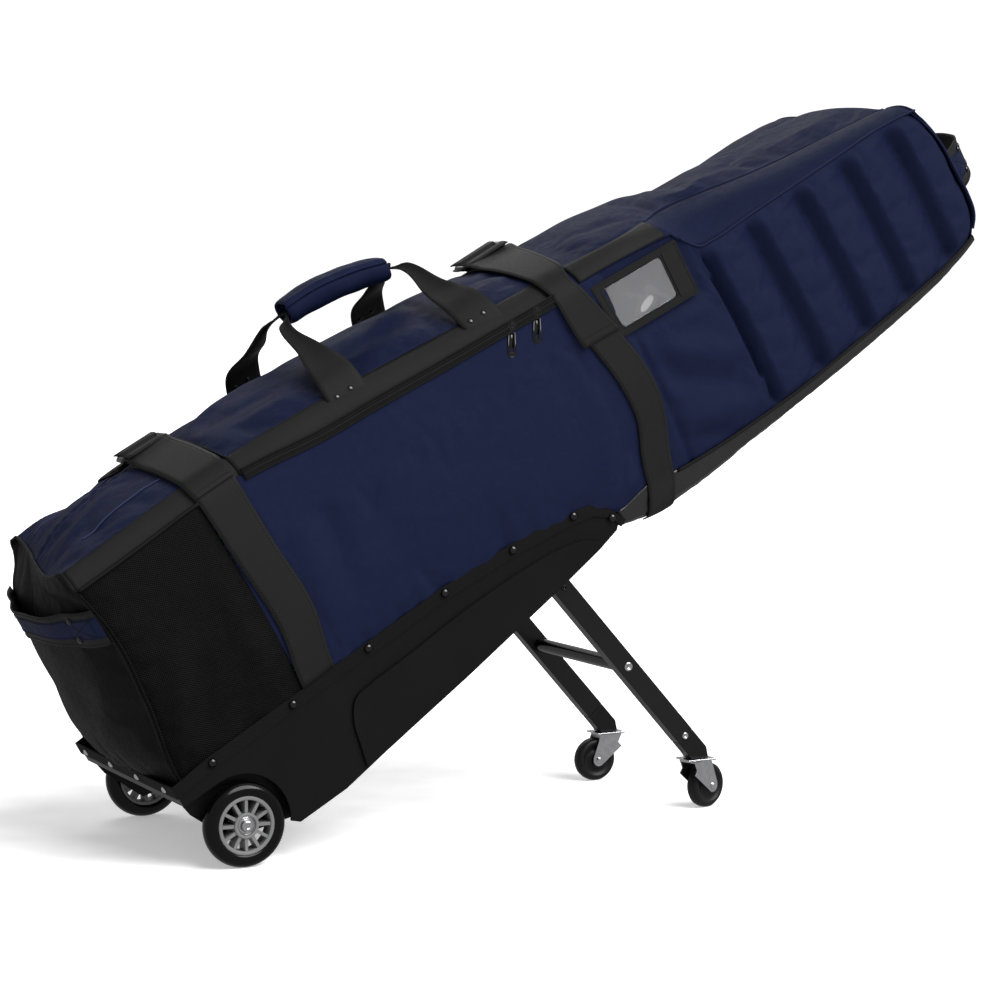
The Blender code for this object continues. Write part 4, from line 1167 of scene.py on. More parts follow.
def marks_over(start, end):
    """Values of s close enough together to look smooth."""
    edges = ((-1, 0, 8), (0, 1, 40), (1, 2, 7), (2, 4, 64), (4, 5, 7), (5, 6, 40), (6, 7, 8))
    marks = [np.linspace(a, b, count, endpoint=False) for a, b, count in edges]
    marks = np.concatenate([*marks, [7.0]])
    return np.array([start, *marks[(marks > start + 0.004) & (marks < end - 0.004)], end])


COLUMNS = 9  # points across a strap


def strap_grid(start, end, edges, lift):
    """Points on a strap round the case, from start to end in s, with its corners eased."""
    left, right = edges
    s, c = mesh_grid(marks_over(start, end), np.linspace(0, 1, COLUMNS))
    folded = np.minimum(s, 6 - s)
    u = right(folded) * (1 - c) + left(folded) * c - 0.022 * np.clip(-folded, 0, 1)
    grid = section(u, s)
    for _ in range(2):
        grid[1:-1] = (grid[:-2] + 2 * grid[1:-1] + grid[2:]) / 4
    return raised(grid, lift(s) if callable(lift) else lift)


def webbing_piece(name, grid, inset=0.0035):
    """A strap through a grid, with stitches along both edges."""
    parts = [panel(name, grid, WEBBING, WEB)]
    out = normals(grid)
    for column, inner in ((0, 1), (-1, -2)):
        edge = grid[:, column]
        step = grid[:, inner] - edge
        step /= np.maximum(np.linalg.norm(step, axis=1, keepdims=True), 1e-9)
        line = edge + step * inset
        parts.append(stitches("edge", [line], THREAD, nearest(line, out[:, column])))
    return join(name, parts)


def nearest(points, values):
    """A function that gives the value of the nearest of some points."""
    points, values = np.asarray(points), np.asarray(values)
    return lambda p: values[np.argmin(((points - np.asarray(p)) ** 2).sum(axis=1))]


def domes(name, spots, radius, height, material):
    """Domed rivet heads, each at a point and along a direction."""
    sides = 20
    verts, faces = [], []
    profile = ((1.0, -0.2), (1.0, 0.10), (0.86, 0.42), (0.60, 0.78), (0.30, 0.95))
    for at, out in spots:
        at, out = Vector(at), Vector(out).normalized()
        side = out.orthogonal().normalized()
        other = out.cross(side)
        first = len(verts)
        for r, h in profile:
            for j in range(sides):
                a = 2 * math.pi * j / sides
                around = side * math.cos(a) + other * math.sin(a)
                verts.append(at + around * r * radius + out * h * height)
        verts.append(at + out * height)
        for i in range(len(profile) - 1):
            for j in range(sides):
                n = (j + 1) % sides
                a, b = first + i * sides, first + (i + 1) * sides
                faces.append((a + j, a + n, b + n, b + j))
        top = first + (len(profile) - 1) * sides
        faces += [(top + j, top + (j + 1) % sides, len(verts) - 1) for j in range(sides)]
        faces.append([first + j for j in reversed(range(sides))])
    return new_object(name, verts, faces, material)


def rounded_box(low_u, low_v, high_u, high_v, radius, steps=6, inset=0.0):
    """A box's outline with round corners, drawn inwards by inset."""
    corners = ((high_u - radius, high_v - radius), (low_u + radius, high_v - radius),
               (low_u + radius, low_v + radius), (high_u - radius, low_v + radius))
    outline = []
    for i, corner in enumerate(corners):
        outline += arc(corner, radius - inset, 90 * i, 90 * i + 90, steps)
    return outline


# The near and far edges along the case of each strap, as u at a place s round it.
LOWER_EDGES = (curve(((0.06, 0.1405), (0.142, 0.141), (0.338, 0.148), (0.698, 0.1435),
                      (0.993, 0.140), (3, 0.139))),
               curve(((0.06, 0.187), (0.142, 0.188), (0.338, 0.197), (0.698, 0.193),
                      (0.993, 0.193), (3, 0.198))))
UPPER_EDGES = (curve(((0.04, 0.655), (0.124, 0.659), (0.313, 0.675), (0.538, 0.673),
                      (0.743, 0.662), (1.0, 0.651), (1.6, 0.650), (3, 0.648))),
               curve(((0.04, 0.695), (0.124, 0.700), (0.313, 0.716), (0.513, 0.718),
                      (0.690, 0.708), (0.80, 0.699), (1.0, 0.685), (1.6, 0.684), (2.2, 0.695),
                      (3, 0.714))))
UPPER_FLAP = (curve(((0.70, 0.6545), (0.80, 0.650), (1.0, 0.648), (3, 0.646))),
              curve(((0.70, 0.7110), (0.80, 0.702), (1.0, 0.687), (1.6, 0.686), (2.2, 0.697),
                     (3, 0.716))))


STRAP_LIFT, FOLD_LIFT = 0.0030, 0.0052  # above the cloth: a strap, and a layer over it
BAR_TURN = 0.0050  # the radius at which a strap turns round its ring's bar
BAR_LIFT = 0.0075
RING_WIDTH, RING_CORNER = 0.030, 0.006
RING_BAR = 0.0036


def turned_round_bar(edges, y, high, outward):
    """The short turn of a strap round one bar of its ring."""
    left, right = float(edges[0](3)), float(edges[1](3))
    loop = [(-0.016, -0.0046), (-0.008, -0.0050),
            *arc((0, 0), BAR_TURN, -90, 90, 12), (-0.008, 0.0050), (-0.016, 0.0040)]
    across = np.linspace(right - 0.002, left + 0.002, 7)
    grid = np.array([[(u, y + dy * outward, high + dv) for u in across] for dy, dv in loop])
    return panel("turn", grid if outward > 0 else grid[:, ::-1], WEBBING, WEB, 1)


def cinch_straps():
    for name, edges, flap_edges, start, flap_start, ring_y in (
        ("lower", LOWER_EDGES, LOWER_EDGES, 0.075, 1.10, 0.006),
        ("upper", UPPER_EDGES, UPPER_FLAP, -0.97, 0.735, 0.012),
    ):
        middle = (float(edges[0](3)) + float(edges[1](3))) / 2
        half = float(shoulder_y(middle))
        bar = float(crown_v(middle)) + BAR_LIFT
        near_end = 3 + (ring_y - 0.012) / half
        far_start = 3 + (ring_y + 0.042) / half
        base = strap_grid(start, near_end, edges, STRAP_LIFT)
        turn = turned_round_bar(edges, ring_y + 0.0035, bar, 1)
        strap = webbing_piece("strap", base)
        hand_over(join(f"{name}_strap_web", [strap, turn]), "case", f"{name}_strap")
        base = strap_grid(far_start, 6 - start, edges, STRAP_LIFT)
        fold = strap_grid(far_start, far_start + 0.045 / half, edges, FOLD_LIFT)
        turn = turned_round_bar(edges, ring_y + 0.0265, bar, -1)
        strap, fold = webbing_piece("strap", base), webbing_piece("fold", fold)
        hand_over(join(f"{name}_short_strap_web", [strap, fold, turn]), "case",
                  f"{name}_short_strap")

        def lift(s):
            return FOLD_LIFT + 0.0062 * np.exp(-(((near_end + 0.05 - s) / 0.13) ** 2))

        grid = strap_grid(flap_start, near_end + 0.045, flap_edges, lift)
        out = normals(grid)
        flap = webbing_piece("flap", grid)
        end = stitches("end", [grid[2]], THREAD, nearest(grid[2], out[2]), 0.0036)
        hand_over(join(f"{name}_flap_web", [flap, end]), f"{name}_flap", f"{name}_flap")
        # The two-bar ring.
        low_u, high_u = float(edges[0](3)) - 0.002, float(edges[1](3)) + 0.002
        outline = rounded_box(low_u, ring_y, high_u, ring_y + RING_WIDTH, RING_CORNER, 5,
                              0.0034)
        ring = tube(f"{name}_ring_bars", [(u, y, bar) for u, y in outline], RING_BAR, GLOSS,
                    sides=14, closed=True)
        hand_over(ring, "case", f"{name}_strap_ring")


# Zip --------------------------------------------------------------------------------------------

def zip_line(u):
    """The line that the zip follows, at the top edge of the near side."""
    return side_grid(u, np.ones_like(u), -1) + np.array([0, -0.0024, 0.0])


TOOTH = np.array([0.00050, 0.0010, 0.0015])  # half its size
TOOTH_PITCH = 0.0019
TAPE_INSIDE, TAPE_OUTSIDE = 0.0003, 0.0062


def zip_tapes():
    """Both halves of the zip: a tape, the cord along its edge, and the teeth."""
    line = zip_line(np.linspace(LID_START + 0.002, LID_END - 0.001, 120))
    box = np.array([(x, y, z) for x in (-1, 1) for y in (-1, 1) for z in (-1, 1)]) * TOOTH
    box_faces = ((0, 1, 3, 2), (4, 6, 7, 5), (0, 4, 5, 1), (2, 3, 7, 6), (0, 2, 6, 4),
                 (1, 5, 7, 3))
    for body, sign, replaced in (("case", -1, ["zip_coil"]), ("lid", 1, [])):
        low, high = sorted((sign * TAPE_INSIDE, sign * TAPE_OUTSIDE))
        grid = np.stack([line + np.array([0, 0.0005 * (1 if o > 0.004 else 0), o])
                         for o in np.linspace(low, high, 4)], axis=1)
        tape = panel("tape", grid, BINDING, 0.0010)
        cord = tube("cord", line + np.array([0, -0.0002, low + high]), 0.0013, BINDING)
        teeth = [zip_line(np.array(u + (TOOTH_PITCH / 2 if sign > 0 else 0)))
                 + np.array([0, 0, sign * 0.0008])
                 for u in np.arange(LID_START + 0.004, LID_END - 0.002, TOOTH_PITCH)]
        verts = np.concatenate([box + at for at in teeth])
        faces = [tuple(8 * i + k for k in f) for i in range(len(teeth)) for f in box_faces]
        chain = new_object("teeth", verts, faces, GLOSS, smooth=False)
        hand_over(join(f"zip_{body}_half", [tape, cord, chain]), body, *replaced)


def lid_bindings():
    """The bound edges of the lid and of the opening under it."""
    for body, gap, drop in (("lid", 0.0, 0.0012), ("case", -0.0016, -0.0022)):
        made = []
        for u in (LID_START + gap, LID_END - gap):
            path = top_grid(np.full(60, u), np.linspace(-1, 1, 60))
            path[:, 2] += drop
            made.append(tube("edge", path, 0.0013, BINDING))
        hand_over(join(f"{body}_edge_binding", made), body)
    u = np.linspace(LID_START, LID_END, 80)
    lines = [slope_grid(u, np.full(80, 0.94), -1) + np.array([0, -0.0008, 0.0012]),
             slope_grid(u, np.full(80, 0.10), -1) + np.array([0, -0.0018, 0.0008])]
    sewn = stitches("lid_band_stitches", lines, THREAD, lambda p: (0, -0.7, 0.7))
    hand_over(sewn, "lid")


# Handles ----------------------------------------------------------------------------------------

def through(points, count):
    """A smooth path through points, as (count, 3)."""
    points = np.array(points, float)
    reach = reach_along(points)
    at = np.linspace(0, reach[-1], count)
    return np.stack([curve(np.stack([reach, points[:, k]], -1))(at) for k in range(3)], -1)


def ribbon(path, across, half, curl=0.0):
    """A grid of points along a path. across points from its middle to one edge at each point."""
    across = across / np.linalg.norm(across, axis=1, keepdims=True)
    out = np.cross(np.gradient(path, axis=0), across)
    out /= np.linalg.norm(out, axis=1, keepdims=True)
    x = np.linspace(-1, 1, COLUMNS)
    half, curl = np.broadcast_to(half, len(path)), np.broadcast_to(curl, len(path))
    return (path[:, None] + across[:, None] * (half[:, None] * x)[..., None]
            - out[:, None] * (curl[:, None] * x**2)[..., None])


def between(row, at):
    """A point part of the way along a row of points."""
    i = min(int(at), len(row) - 2)
    return row[i] + (row[i + 1] - row[i]) * (at - i)


def all_normals(grid):
    """The outward direction at the nearest of a grid's points."""
    return nearest(grid.reshape(-1, 3), normals(grid).reshape(-1, 3))


FOOT_HALF, GRIP_END_HALF = 0.0262, 0.0085  # half of the handle webbing's width at each end
FOOT_ROWS = 14  # rows of the webbing that are sewn to the lid
RIVET_ROW = 6


def carry_handle():
    rivets = []
    for name, foot_u, (top_u, top_v), turn_u, end_rise, ends in (
        ("lower", 0.3655, (0.3900, 0.444), 1, 0.0015, (0.354, 0.375)),
        ("upper", 0.5605, (0.5545, 0.427), -1, 0.0045, (0.545, 0.567)),
    ):
        bands = []
        edge_v = float(side_top_v(foot_u)) + 0.010
        shoulder = float(shoulder_v(foot_u))
        for sign in (-1, 1):
            path = through([
                (foot_u, sign * 0.1690, edge_v - 0.004), (foot_u, sign * 0.1590, edge_v + 0.012),
                (foot_u + (top_u - foot_u) * 0.1, sign * 0.1465, shoulder + 0.011),
                (foot_u + (top_u - foot_u) * 0.5, sign * 0.085,
                 shoulder + (top_v - shoulder) * 0.50),
                (top_u - turn_u * 0.001, sign * 0.019, top_v - 0.006),
                (top_u + turn_u * 0.010, sign * 0.0075, top_v),
                (top_u + turn_u * 0.034, sign * 0.0050, top_v + end_rise),
            ], 60)
            reach = np.linspace(0, 1, 60)
            bend = smoothstep(0.76, 0.94, reach)[:, None]
            across = (np.array([[1.0, 0, 0]]) * (1 - bend)
                      + np.array([[0, -sign * turn_u, 0.0]]) * bend)
            half = FOOT_HALF + (GRIP_END_HALF - FOOT_HALF) * smoothstep(0.12, 0.80, reach)
            curl = 0.0035 * smoothstep(0.15, 0.6, reach) * (1 - bend[:, 0])
            grid = ribbon(path, across * -sign, half, curl)
            band = webbing_piece("band", grid, inset=0.0025)
            foot, out = grid[:FOOT_ROWS], normals(grid)[:FOOT_ROWS]
            cross = [[between(foot[i], 4 + side * (i / 11 * 6 - 3)) for i in range(1, 12)]
                     for side in (1, -1)]
            sewn = stitches("box", [foot[1], foot[11], foot[:12, 1], foot[:12, -2], *cross],
                            THREAD, nearest(foot.reshape(-1, 3), out.reshape(-1, 3)))
            bands += [band, sewn]
            row = foot[RIVET_ROW, ::-sign]
            for u in ends:
                column = round(np.interp(u, row[:, 0], np.arange(COLUMNS)))
                spot = row[min(max(column, 1), COLUMNS - 2)]
                rivets.append((spot + np.array([0, sign * 0.0003, 0.0003]), (0, sign * 0.8, 0.6)))
        made = join(f"{name}_handle_web", bands)
        made.data.transform(CASE)
        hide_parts(f"{name}_handle_webbing")
        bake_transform(made)
    hand_over(domes("handle_rivets", rivets, 0.0046, 0.0026, BLACK_METAL), "lid")


GRIP_START, GRIP_END = 0.4015, 0.5435


def grip():
    """The padded wrap: a layer round the webbing whose upper edge laps over and snaps shut."""
    centre = curve(((0.402, 0.4455), (0.437, 0.446), (0.4725, 0.4425), (0.508, 0.436),
                    (0.543, 0.4265)))
    u, a = mesh_grid(np.linspace(GRIP_START, GRIP_END, 60),
                     np.radians(np.linspace(-215, 158, 72)))
    middle = np.sin(math.pi * (u - GRIP_START) / 0.142)
    end = np.exp(-np.minimum(u - GRIP_START, GRIP_END - u) / 0.003)
    wide = 0.0188 + 0.0014 * middle - 0.0022 * end
    high = 0.0132 + 0.0016 * middle - 0.0016 * end
    lap = smoothstep(math.radians(120), math.radians(135), a)
    rise = 0.0028 * lap + 0.0007 * ripple(u, a * 0.015, 97, 0.03)
    power = 0.86
    c, s = np.cos(a), np.sin(a)
    y = (wide + rise) * np.sign(c) * np.abs(c) ** power
    v = centre(u) + (high + rise) * np.sign(s) * np.abs(s) ** power
    grid = np.stack([u, y, v], -1)
    wrap = panel("wrap", grid, NAVY, 0.0034)
    subdivided(wrap)
    out, above = normals(grid), raised(grid, 0.0002)
    sewn = stitches("seam", [above[3], above[-4], above[:, -4]], NAVY_THREAD, all_normals(grid))
    snaps = []
    for at in (0.4145, 0.5270):
        i = int(np.argmin(np.abs(grid[:, 0, 0] - at)))
        j = int(np.argmin(np.abs(np.degrees(a[0]) - 104)))
        snaps.append((grid[i, j], out[i, j]))
    studs = domes("snaps", snaps, 0.0066, 0.0022, BLACK_METAL)
    made = join("grip_wrap", [wrap, sewn, studs])
    hand_over(made, "handle", "grip")


END_ROWS = 90
SEWN_ROWS = (3, 17)  # the rows of an end handle that its sewn box spans


def end_handles():
    for name, outline, v_low, v_high, turn in (
        ("base", ((-0.0260, -0.1655), (-0.0330, -0.1540), (-0.0400, -0.1330), (-0.0450, -0.1030),
                  (-0.0545, -0.0720), (-0.0590, -0.0300), (-0.0590, 0.0)), 0.268, 0.314, -1),
        ("hood", ((1.2680, -0.1420), (1.3000, -0.1220), (1.3320, -0.0880), (1.3480, -0.0450),
                  (1.3510, 0.0)), 0.126, 0.182, 1),
    ):
        whole = [*outline, *[(u, -y) for u, y in reversed(outline[:-1])]]
        path = through([(u, y, (v_low + v_high) / 2) for u, y in whole], END_ROWS)
        if name == "base":
            path[:, 2] -= 0.010 * smoothstep(-0.02, 0.14, path[:, 1])
            path[:, 0] += 0.004 * smoothstep(0.04, 0.16, path[:, 1])
        up = np.tile(np.array([[0.0, 0, float(turn)]]), (END_ROWS, 1))
        share = np.abs(path[:, 1]) / 0.16
        half = (v_high - v_low) / 2 * (0.82 + 0.18 * smoothstep(0.35, 0.80, share))
        grid = ribbon(path, up, half, -0.0015)
        back = webbing_piece("back", grid, inset=0.0025)
        front = panel("front", raised(ribbon(path, up, half * 0.58), 0.0011), NAVY, 0.0013)
        out, above = normals(grid), raised(grid, 0.0012)
        lines = [above[:, k] for k in (2, -3)]
        heads = []
        last_row = END_ROWS - 1
        for first, last, inwards in ((*SEWN_ROWS, 3),
                                     (last_row - SEWN_ROWS[1], last_row - SEWN_ROWS[0], -3)):
            lines += [above[i, 2:7] for i in (first, last)]
            for low, high in ((2, 6), (6, 2)):
                lines.append([between(above[i], low + (high - low) * (i - first) / (last - first))
                              for i in range(first, last + 1)])
            i = (first + last) // 2 + inwards
            heads += [(above[i, 1] * 0.2 + above[i, 2] * 0.8, out[i, 4]),
                      (above[i, 7] * 0.2 + above[i, 6] * 0.8, out[i, 4])]
        sewn = stitches("sewn", lines, THREAD, all_normals(grid))
        heads = domes("heads", heads, 0.0044, 0.0024, BLACK_METAL)
        hand_over(join(f"{name}_handle_web", [back, front, sewn, heads]), "case",
                  f"{name}_handle")


# Window -----------------------------------------------------------------------------------------

def lean(u, v):
    return np.where(u < 0, -0.11 * v * smoothstep(-0.02, 0.06, -u), 0)


def leant(loop):
    """Leans the left part of an outline outwards at its top, as the panel pulls it."""
    return [(u + float(lean(u, v)), v) for u, v in loop]


WINDOW_AT = (0.7700, -0.1805, 0.2680)
WINDOW_LOW, WINDOW_HIGH = (-0.0583, -0.0273), (0.0318, 0.0278)  # the film's corners


def name_window():
    """The window on the near side, drawn round its own middle: a frame, a card and a film."""
    place = (CASE @ Matrix.Translation(WINDOW_AT)
             @ Matrix.Rotation(math.radians(3), 4, "Y")
             @ Matrix.Rotation(math.radians(-4.5), 4, "X"))
    outside = leant(rounded_box(-0.0690, -0.0365, 0.0600, 0.0365, 0.0025))
    inside = leant(rounded_box(-0.0575, -0.0265, 0.0310, 0.0270, 0.0050))
    border = rounded(plate("border", [outside, inside], -0.0014, 0.0010, WEBBING), 0.0006, 2)
    strip = rounded(plate("strip", [rounded_box(0.0345, -0.0300, 0.0545, 0.0300, 0.002)],
                          -0.0022, 0.0, WEBBING), 0.0005, 2)
    corners = [(-0.0665, 0.0340), (0.0575, 0.0340), (0.0575, -0.0340), (-0.0665, -0.0340)]
    inner = rounded_box(-0.0600, -0.0290, 0.0335, 0.0295, 0.006)
    lines = [[(u, -0.0015, v) for u, v in leant([*loop, loop[0]])] for loop in (corners, inner)]
    sewn = stitches("sewn", lines, THREAD, lambda p: (0, -1, 0))
    hand_over(join("window_border", [border, strip, sewn]), "case", "window_frame", place=place)
    card = plate("window_card", [leant(rounded_box(-0.0585, -0.0275, 0.0320, 0.0280, 0.004))],
                 0.0, 0.0006, CARD)
    hand_over(card, "case", place=place)
    (low_u, low_v), (high_u, high_v) = WINDOW_LOW, WINDOW_HIGH
    u, v = mesh_grid(np.linspace(low_u, high_u, 48), np.linspace(low_v, high_v, 32))
    wave = folds(u, v, ((-0.040, 0.020, 0.000, 0.000, 0.010, 0.0011),
                        (-0.010, 0.026, 0.022, -0.022, 0.007, 0.0012),
                        (-0.030, -0.024, 0.010, -0.004, 0.008, -0.0008)))
    edge = np.minimum.reduce([u - low_u, high_u - u, v - low_v, high_v - v])
    grid = np.stack([u + lean(u, v), -0.0005 - wave * smoothstep(0, 0.006, edge), v], -1)
    film = panel("window_film", grid, FILM, 0.0004)
    hand_over(film, "case", "window_pane", place=place)


# Hard parts -------------------------------------------------------------------------------------

def eased(node, material, width=0.0006, segments=2, angle=28, extra=()):
    """A node's own solid, with its edges rounded."""
    source = frame["nodes"][node]
    mesh = source.data.copy()
    mesh.materials.clear()
    mesh.materials.append(material)
    if "custom_normal" in mesh.attributes:
        mesh.attributes.remove(mesh.attributes["custom_normal"])
    obj = linked(f"{node}_body", mesh)
    shape = bmesh.new()
    shape.from_mesh(mesh)
    bmesh.ops.remove_doubles(shape, verts=shape.verts, dist=2e-6)
    bmesh.ops.dissolve_limit(shape, angle_limit=math.radians(0.6), verts=shape.verts,
                             edges=shape.edges)
    shape.to_mesh(mesh)
    shape.free()
    mesh.shade_smooth()
    rounded(obj, width, segments, angle)
    obj.modifiers["Edges"].harden_normals = True
    if extra:
        obj = join(f"{node}_body", [obj, *extra])
    return hand_over(obj, source["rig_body"], node, place=None)


def in_world(obj):
    obj.data.transform(CASE)
    return obj


def tray_and_trim():
    contour = through([(0.1625, 0, -0.0300), (0.168, 0, -0.004), (0.176, 0, 0.028),
                       (0.190, 0, 0.0475), (0.215, 0, 0.0520), (0.258, 0, 0.0535),
                       (0.373, 0, 0.0590), (0.450, 0, 0.0580), (0.510, 0, 0.0520),
                       (0.545, 0, 0.0420), (0.562, 0, 0.0300)], 70)
    foot = [(0.562, 0.0295), (0.531, 0.0195), (0.486, 0.0115), (0.332, -0.0105), (0.192, -0.0275),
            (0.1640, -0.0320)]
    outline = [(p[0], p[2]) for p in contour] + foot
    swells = []
    for sign in (-1, 1):
        y_in, y_out = sorted((sign * 0.1640, sign * 0.1718))
        swell = plate("swell", [outline], y_in, y_out, TRAY)
        swells.append(in_world(rounded(swell, 0.0038, 5, 40)))
    eased("tray", TRAY, 0.0022, 3, 35, swells)
    spots = [(u, sign * 0.1722, float(rim_v(u)) + dv) for sign in (-1, 1)
             for u, dv in ((0.004, 0), (0.121, 0), (0.234, 0), (0.351, 0), (0.454, 0),
                           (0.545, 0.002), (0.590, -0.006))]
    heads = in_world(domes("heads", [(p, (0, np.sign(p[1]), 0)) for p in spots], 0.0050, 0.0030,
                           BLACK_METAL))
    ends = in_world(domes("ends", [((-0.0530, y, 0.0800), (-1, 0, 0)) for y in
                                   (-0.138, -0.046, 0.046, 0.138)], 0.0042, 0.0026, STEEL))
    eased("trim_strip", TRIM, 0.0007, 2, 30, [heads, ends])


def ring_of(name, section, centre, side, material, steps):
    """A lathed ring on one side of a wheel."""
    return lathe(name, [(r, h * side) for r, h in section], centre, material, "Y", steps, True)


WHEEL_Y = 0.1675


def wheels():
    tread = [(0.0343, 0.0092), (0.0352, 0.0104), (0.0380, 0.0113), (0.0415, 0.0116),
             (0.0450, 0.0104), (0.0478, 0.0078), (0.0494, 0.0042), (0.0500, 0.0)]
    tread += [(r, -h) for r, h in reversed(tread[:-1])]
    tread = [(p[0], p[2]) for p in through([(r, 0, h) for r, h in tread], 49)]
    rim = [(0.0345, 0.0088), (0.0345, 0.0098), (0.0336, 0.0102), (0.0308, 0.0102),
           (0.0300, 0.0096), (0.0300, 0.0088)]
    boss = [(0.0112, 0.0088), (0.0112, 0.0100), (0.0120, 0.0106), (0.0145, 0.0106),
            (0.0152, 0.0098), (0.0152, 0.0088)]
    head = [(0.0, 0.0128), (0.0022, 0.0128), (0.0023, 0.0142), (0.0046, 0.0142),
            (0.0062, 0.0136), (0.0070, 0.0120), (0.0070, 0.0100), (0.0, 0.0100)]
    for name, sign in SIDES:
        centre = CASE @ Vector((0, sign * WHEEL_Y, 0))
        tyre = ring_of(f"{name}_tyre_tread", tread, centre, 1, TYRE, 96)
        hand_over(tyre, f"{name}_wheel", f"{name}_tyre", place=None)
        rings = [ring_of("ring", section, centre, side, HUB, steps)
                 for section, steps in ((rim, 72), (boss, 48)) for side in (1, -1)]
        eased(f"{name}_hub", HUB, 0.0007, 2, 30, rings)
        races = []
        for side in (1, -1):
            for r0, r1, h, material in ((0.0098, 0.0109, 0.0096, STEEL),
                                        (0.0068, 0.0097, 0.0090, ZINC),
                                        (0.0045, 0.0067, 0.0097, STEEL)):
                band = [(r0, 0.0070), (r0, h - 0.0003), (r0 + 0.0003, h), (r1 - 0.0003, h),
                        (r1, h - 0.0003), (r1, 0.0070)]
                races.append(ring_of("race", band, centre, side, material, 48))
        made = join(f"{name}_bearing_races", races)
        hand_over(made, f"{name}_wheel", f"{name}_bearing", place=None)
        bolt = lathe("head", [(r, -h * sign) for r, h in head], centre, STEEL, "Y", 36)
        eased(f"{name}_axle_bolt", STEEL, 0.0003, 2, 30, [bolt])


def screw(at, out, radius, material=STEEL):
    """A round screw head with a hollow, as a small lathed piece turned to a direction."""
    profile = [(0.0, 0.0004), (0.42, 0.0004), (0.50, 0.0016), (0.62, 0.0022), (0.86, 0.0018),
               (1.0, 0.0004), (1.0, -0.0010), (0.0, -0.0010)]
    made = lathe("screw", [(r * radius, h) for r, h in profile], (0, 0, 0), material, "Z", 24)
    turn = Vector(out).to_track_quat("Z", "Y").to_matrix().to_4x4()
    made.data.transform(Matrix.Translation(at) @ turn)
    return made


LEG_SCREW_X, LEG_SCREW_Z = 0.6224, 0.0974  # ahead of the main axle, and above the floor
TOP_SCREW_REACH = 0.040
AXLE_HEAD_Y = 0.0136


def legs():
    pivot = centre_of("pivot_shaft")
    across = centre_of("cross_tube")
    for name, sign in SIDES:
        low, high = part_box(f"{name}_leg")
        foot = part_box(f"{name}_foot")[1]
        ahead = Vector((foot.x - 0.020 - pivot.x, 0, foot.z - 0.010 - pivot.z)).normalized()
        outer, out = low.y if sign < 0 else high.y, (0, sign, 0)
        top = Vector((pivot.x, outer, pivot.z)) + ahead * TOP_SCREW_REACH
        bolts = [screw(Vector((AXLE.x + LEG_SCREW_X, outer, LEG_SCREW_Z)), out, 0.0046),
                 screw(top, out, 0.0040, BLACK_METAL),
                 screw(Vector((across.x, outer, across.z)), out, 0.0060)]
        eased(f"{name}_leg", PAINT, 0.0026, 4, 30, bolts)
        eased(f"{name}_foot", FOOT, 0.0014, 3, 30)
    low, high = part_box("cross_tube")
    radius = (high.z - low.z) / 2
    collar = lathe("collar", [(radius, 0.0), (radius + 0.0022, 0.0004),
                              (radius + 0.0022, 0.0036), (radius, 0.0042)],
                   (across.x, 0.0001 - high.y, across.z), STEEL, "Y", 32, True)
    eased("cross_tube", BLACK_METAL, 0.0004, 2, 30, [collar])
    eased("pivot_shaft", BLACK_METAL, 0.0005)
    eased("leg_bracket", BLACK_METAL, 0.0006)
    eased("lock_lever", BLACK_METAL, 0.0008)


def casters():
    tread = [(0.0034, 0.0090), (0.0100, 0.0090), (0.0112, 0.0086), (0.0120, 0.0068),
             (0.0195, 0.0064), (0.0208, 0.0084), (0.0222, 0.0089), (0.0262, 0.0080),
             (0.0282, 0.0056), (0.0290, 0.0020)]
    tread += [(r, -h) for r, h in reversed(tread)]
    for name, _ in SIDES:
        eased(f"{name}_caster_plate", ZINC, 0.0006, 2)
        middle = centre_of(f"{name}_caster_plate")
        wheel = centre_of(f"{name}_caster_wheel")
        yaw = Vector((wheel.x - middle.x, wheel.y - middle.y, 0)).normalized()
        side = Vector((-yaw.y, yaw.x, 0))
        heads = [screw(wheel + side * s * AXLE_HEAD_Y, side * s, 0.0042) for s in (-1, 1)]
        eased(f"{name}_fork", ZINC, 0.0005, 2, 30, heads)
        made = lathe(f"{name}_caster_tread", tread, (0, 0, 0), RUBBER, "Y", 64, True)
        angle = math.atan2(side.x, -side.y) if side.y < 0 else math.atan2(-side.x, side.y)
        made.data.transform(Matrix.Translation(wheel) @ Matrix.Rotation(angle, 4, "Z"))
        hand_over(made, f"{name}_small_wheel", f"{name}_caster_wheel", place=None)


PAD_START, PAD_END, PAD_HALF, PAD_TOP = 0.002, 0.518, 0.153, 0.0678
FOAM_START, FOAM_END, FOAM_Y = 0.868, 1.225, 0.1480


def linings():
    """The pads inside: quilted cloth over foam."""
    u, y = mesh_grid(np.linspace(PAD_START, PAD_END, 90), np.linspace(-PAD_HALF, PAD_HALF, 56))
    quilt = 0.0012 * np.abs(np.sin(math.pi * (u - PAD_START) / 0.086)) ** 0.5
    edge = np.minimum.reduce([u - PAD_START, PAD_END - u, PAD_HALF - np.abs(y)])
    grid = np.stack([u, y, PAD_TOP + quilt + 0.0022 * smoothstep(0, 0.008, edge)], -1)
    pad = panel("floor_pad_cover", grid, LINING, 0.0040)
    hand_over(pad, "case", "floor_pad")
    for name, sign in SIDES:
        u, t = mesh_grid(np.linspace(FOAM_START, FOAM_END, 80), np.linspace(0.07, 0.90, 44))
        grid = side_grid(u, t, sign)
        channels = 0.0016 * np.abs(np.sin(math.pi * (u - FOAM_START) / 0.0595)) ** 0.5
        grid[..., 1] = sign * (FOAM_Y + channels)
        pad = panel(f"{name}_foam_pad_cover", facing_out(grid, sign), LINING, 0.0060)
        hand_over(pad, "case", f"{name}_foam_pad")


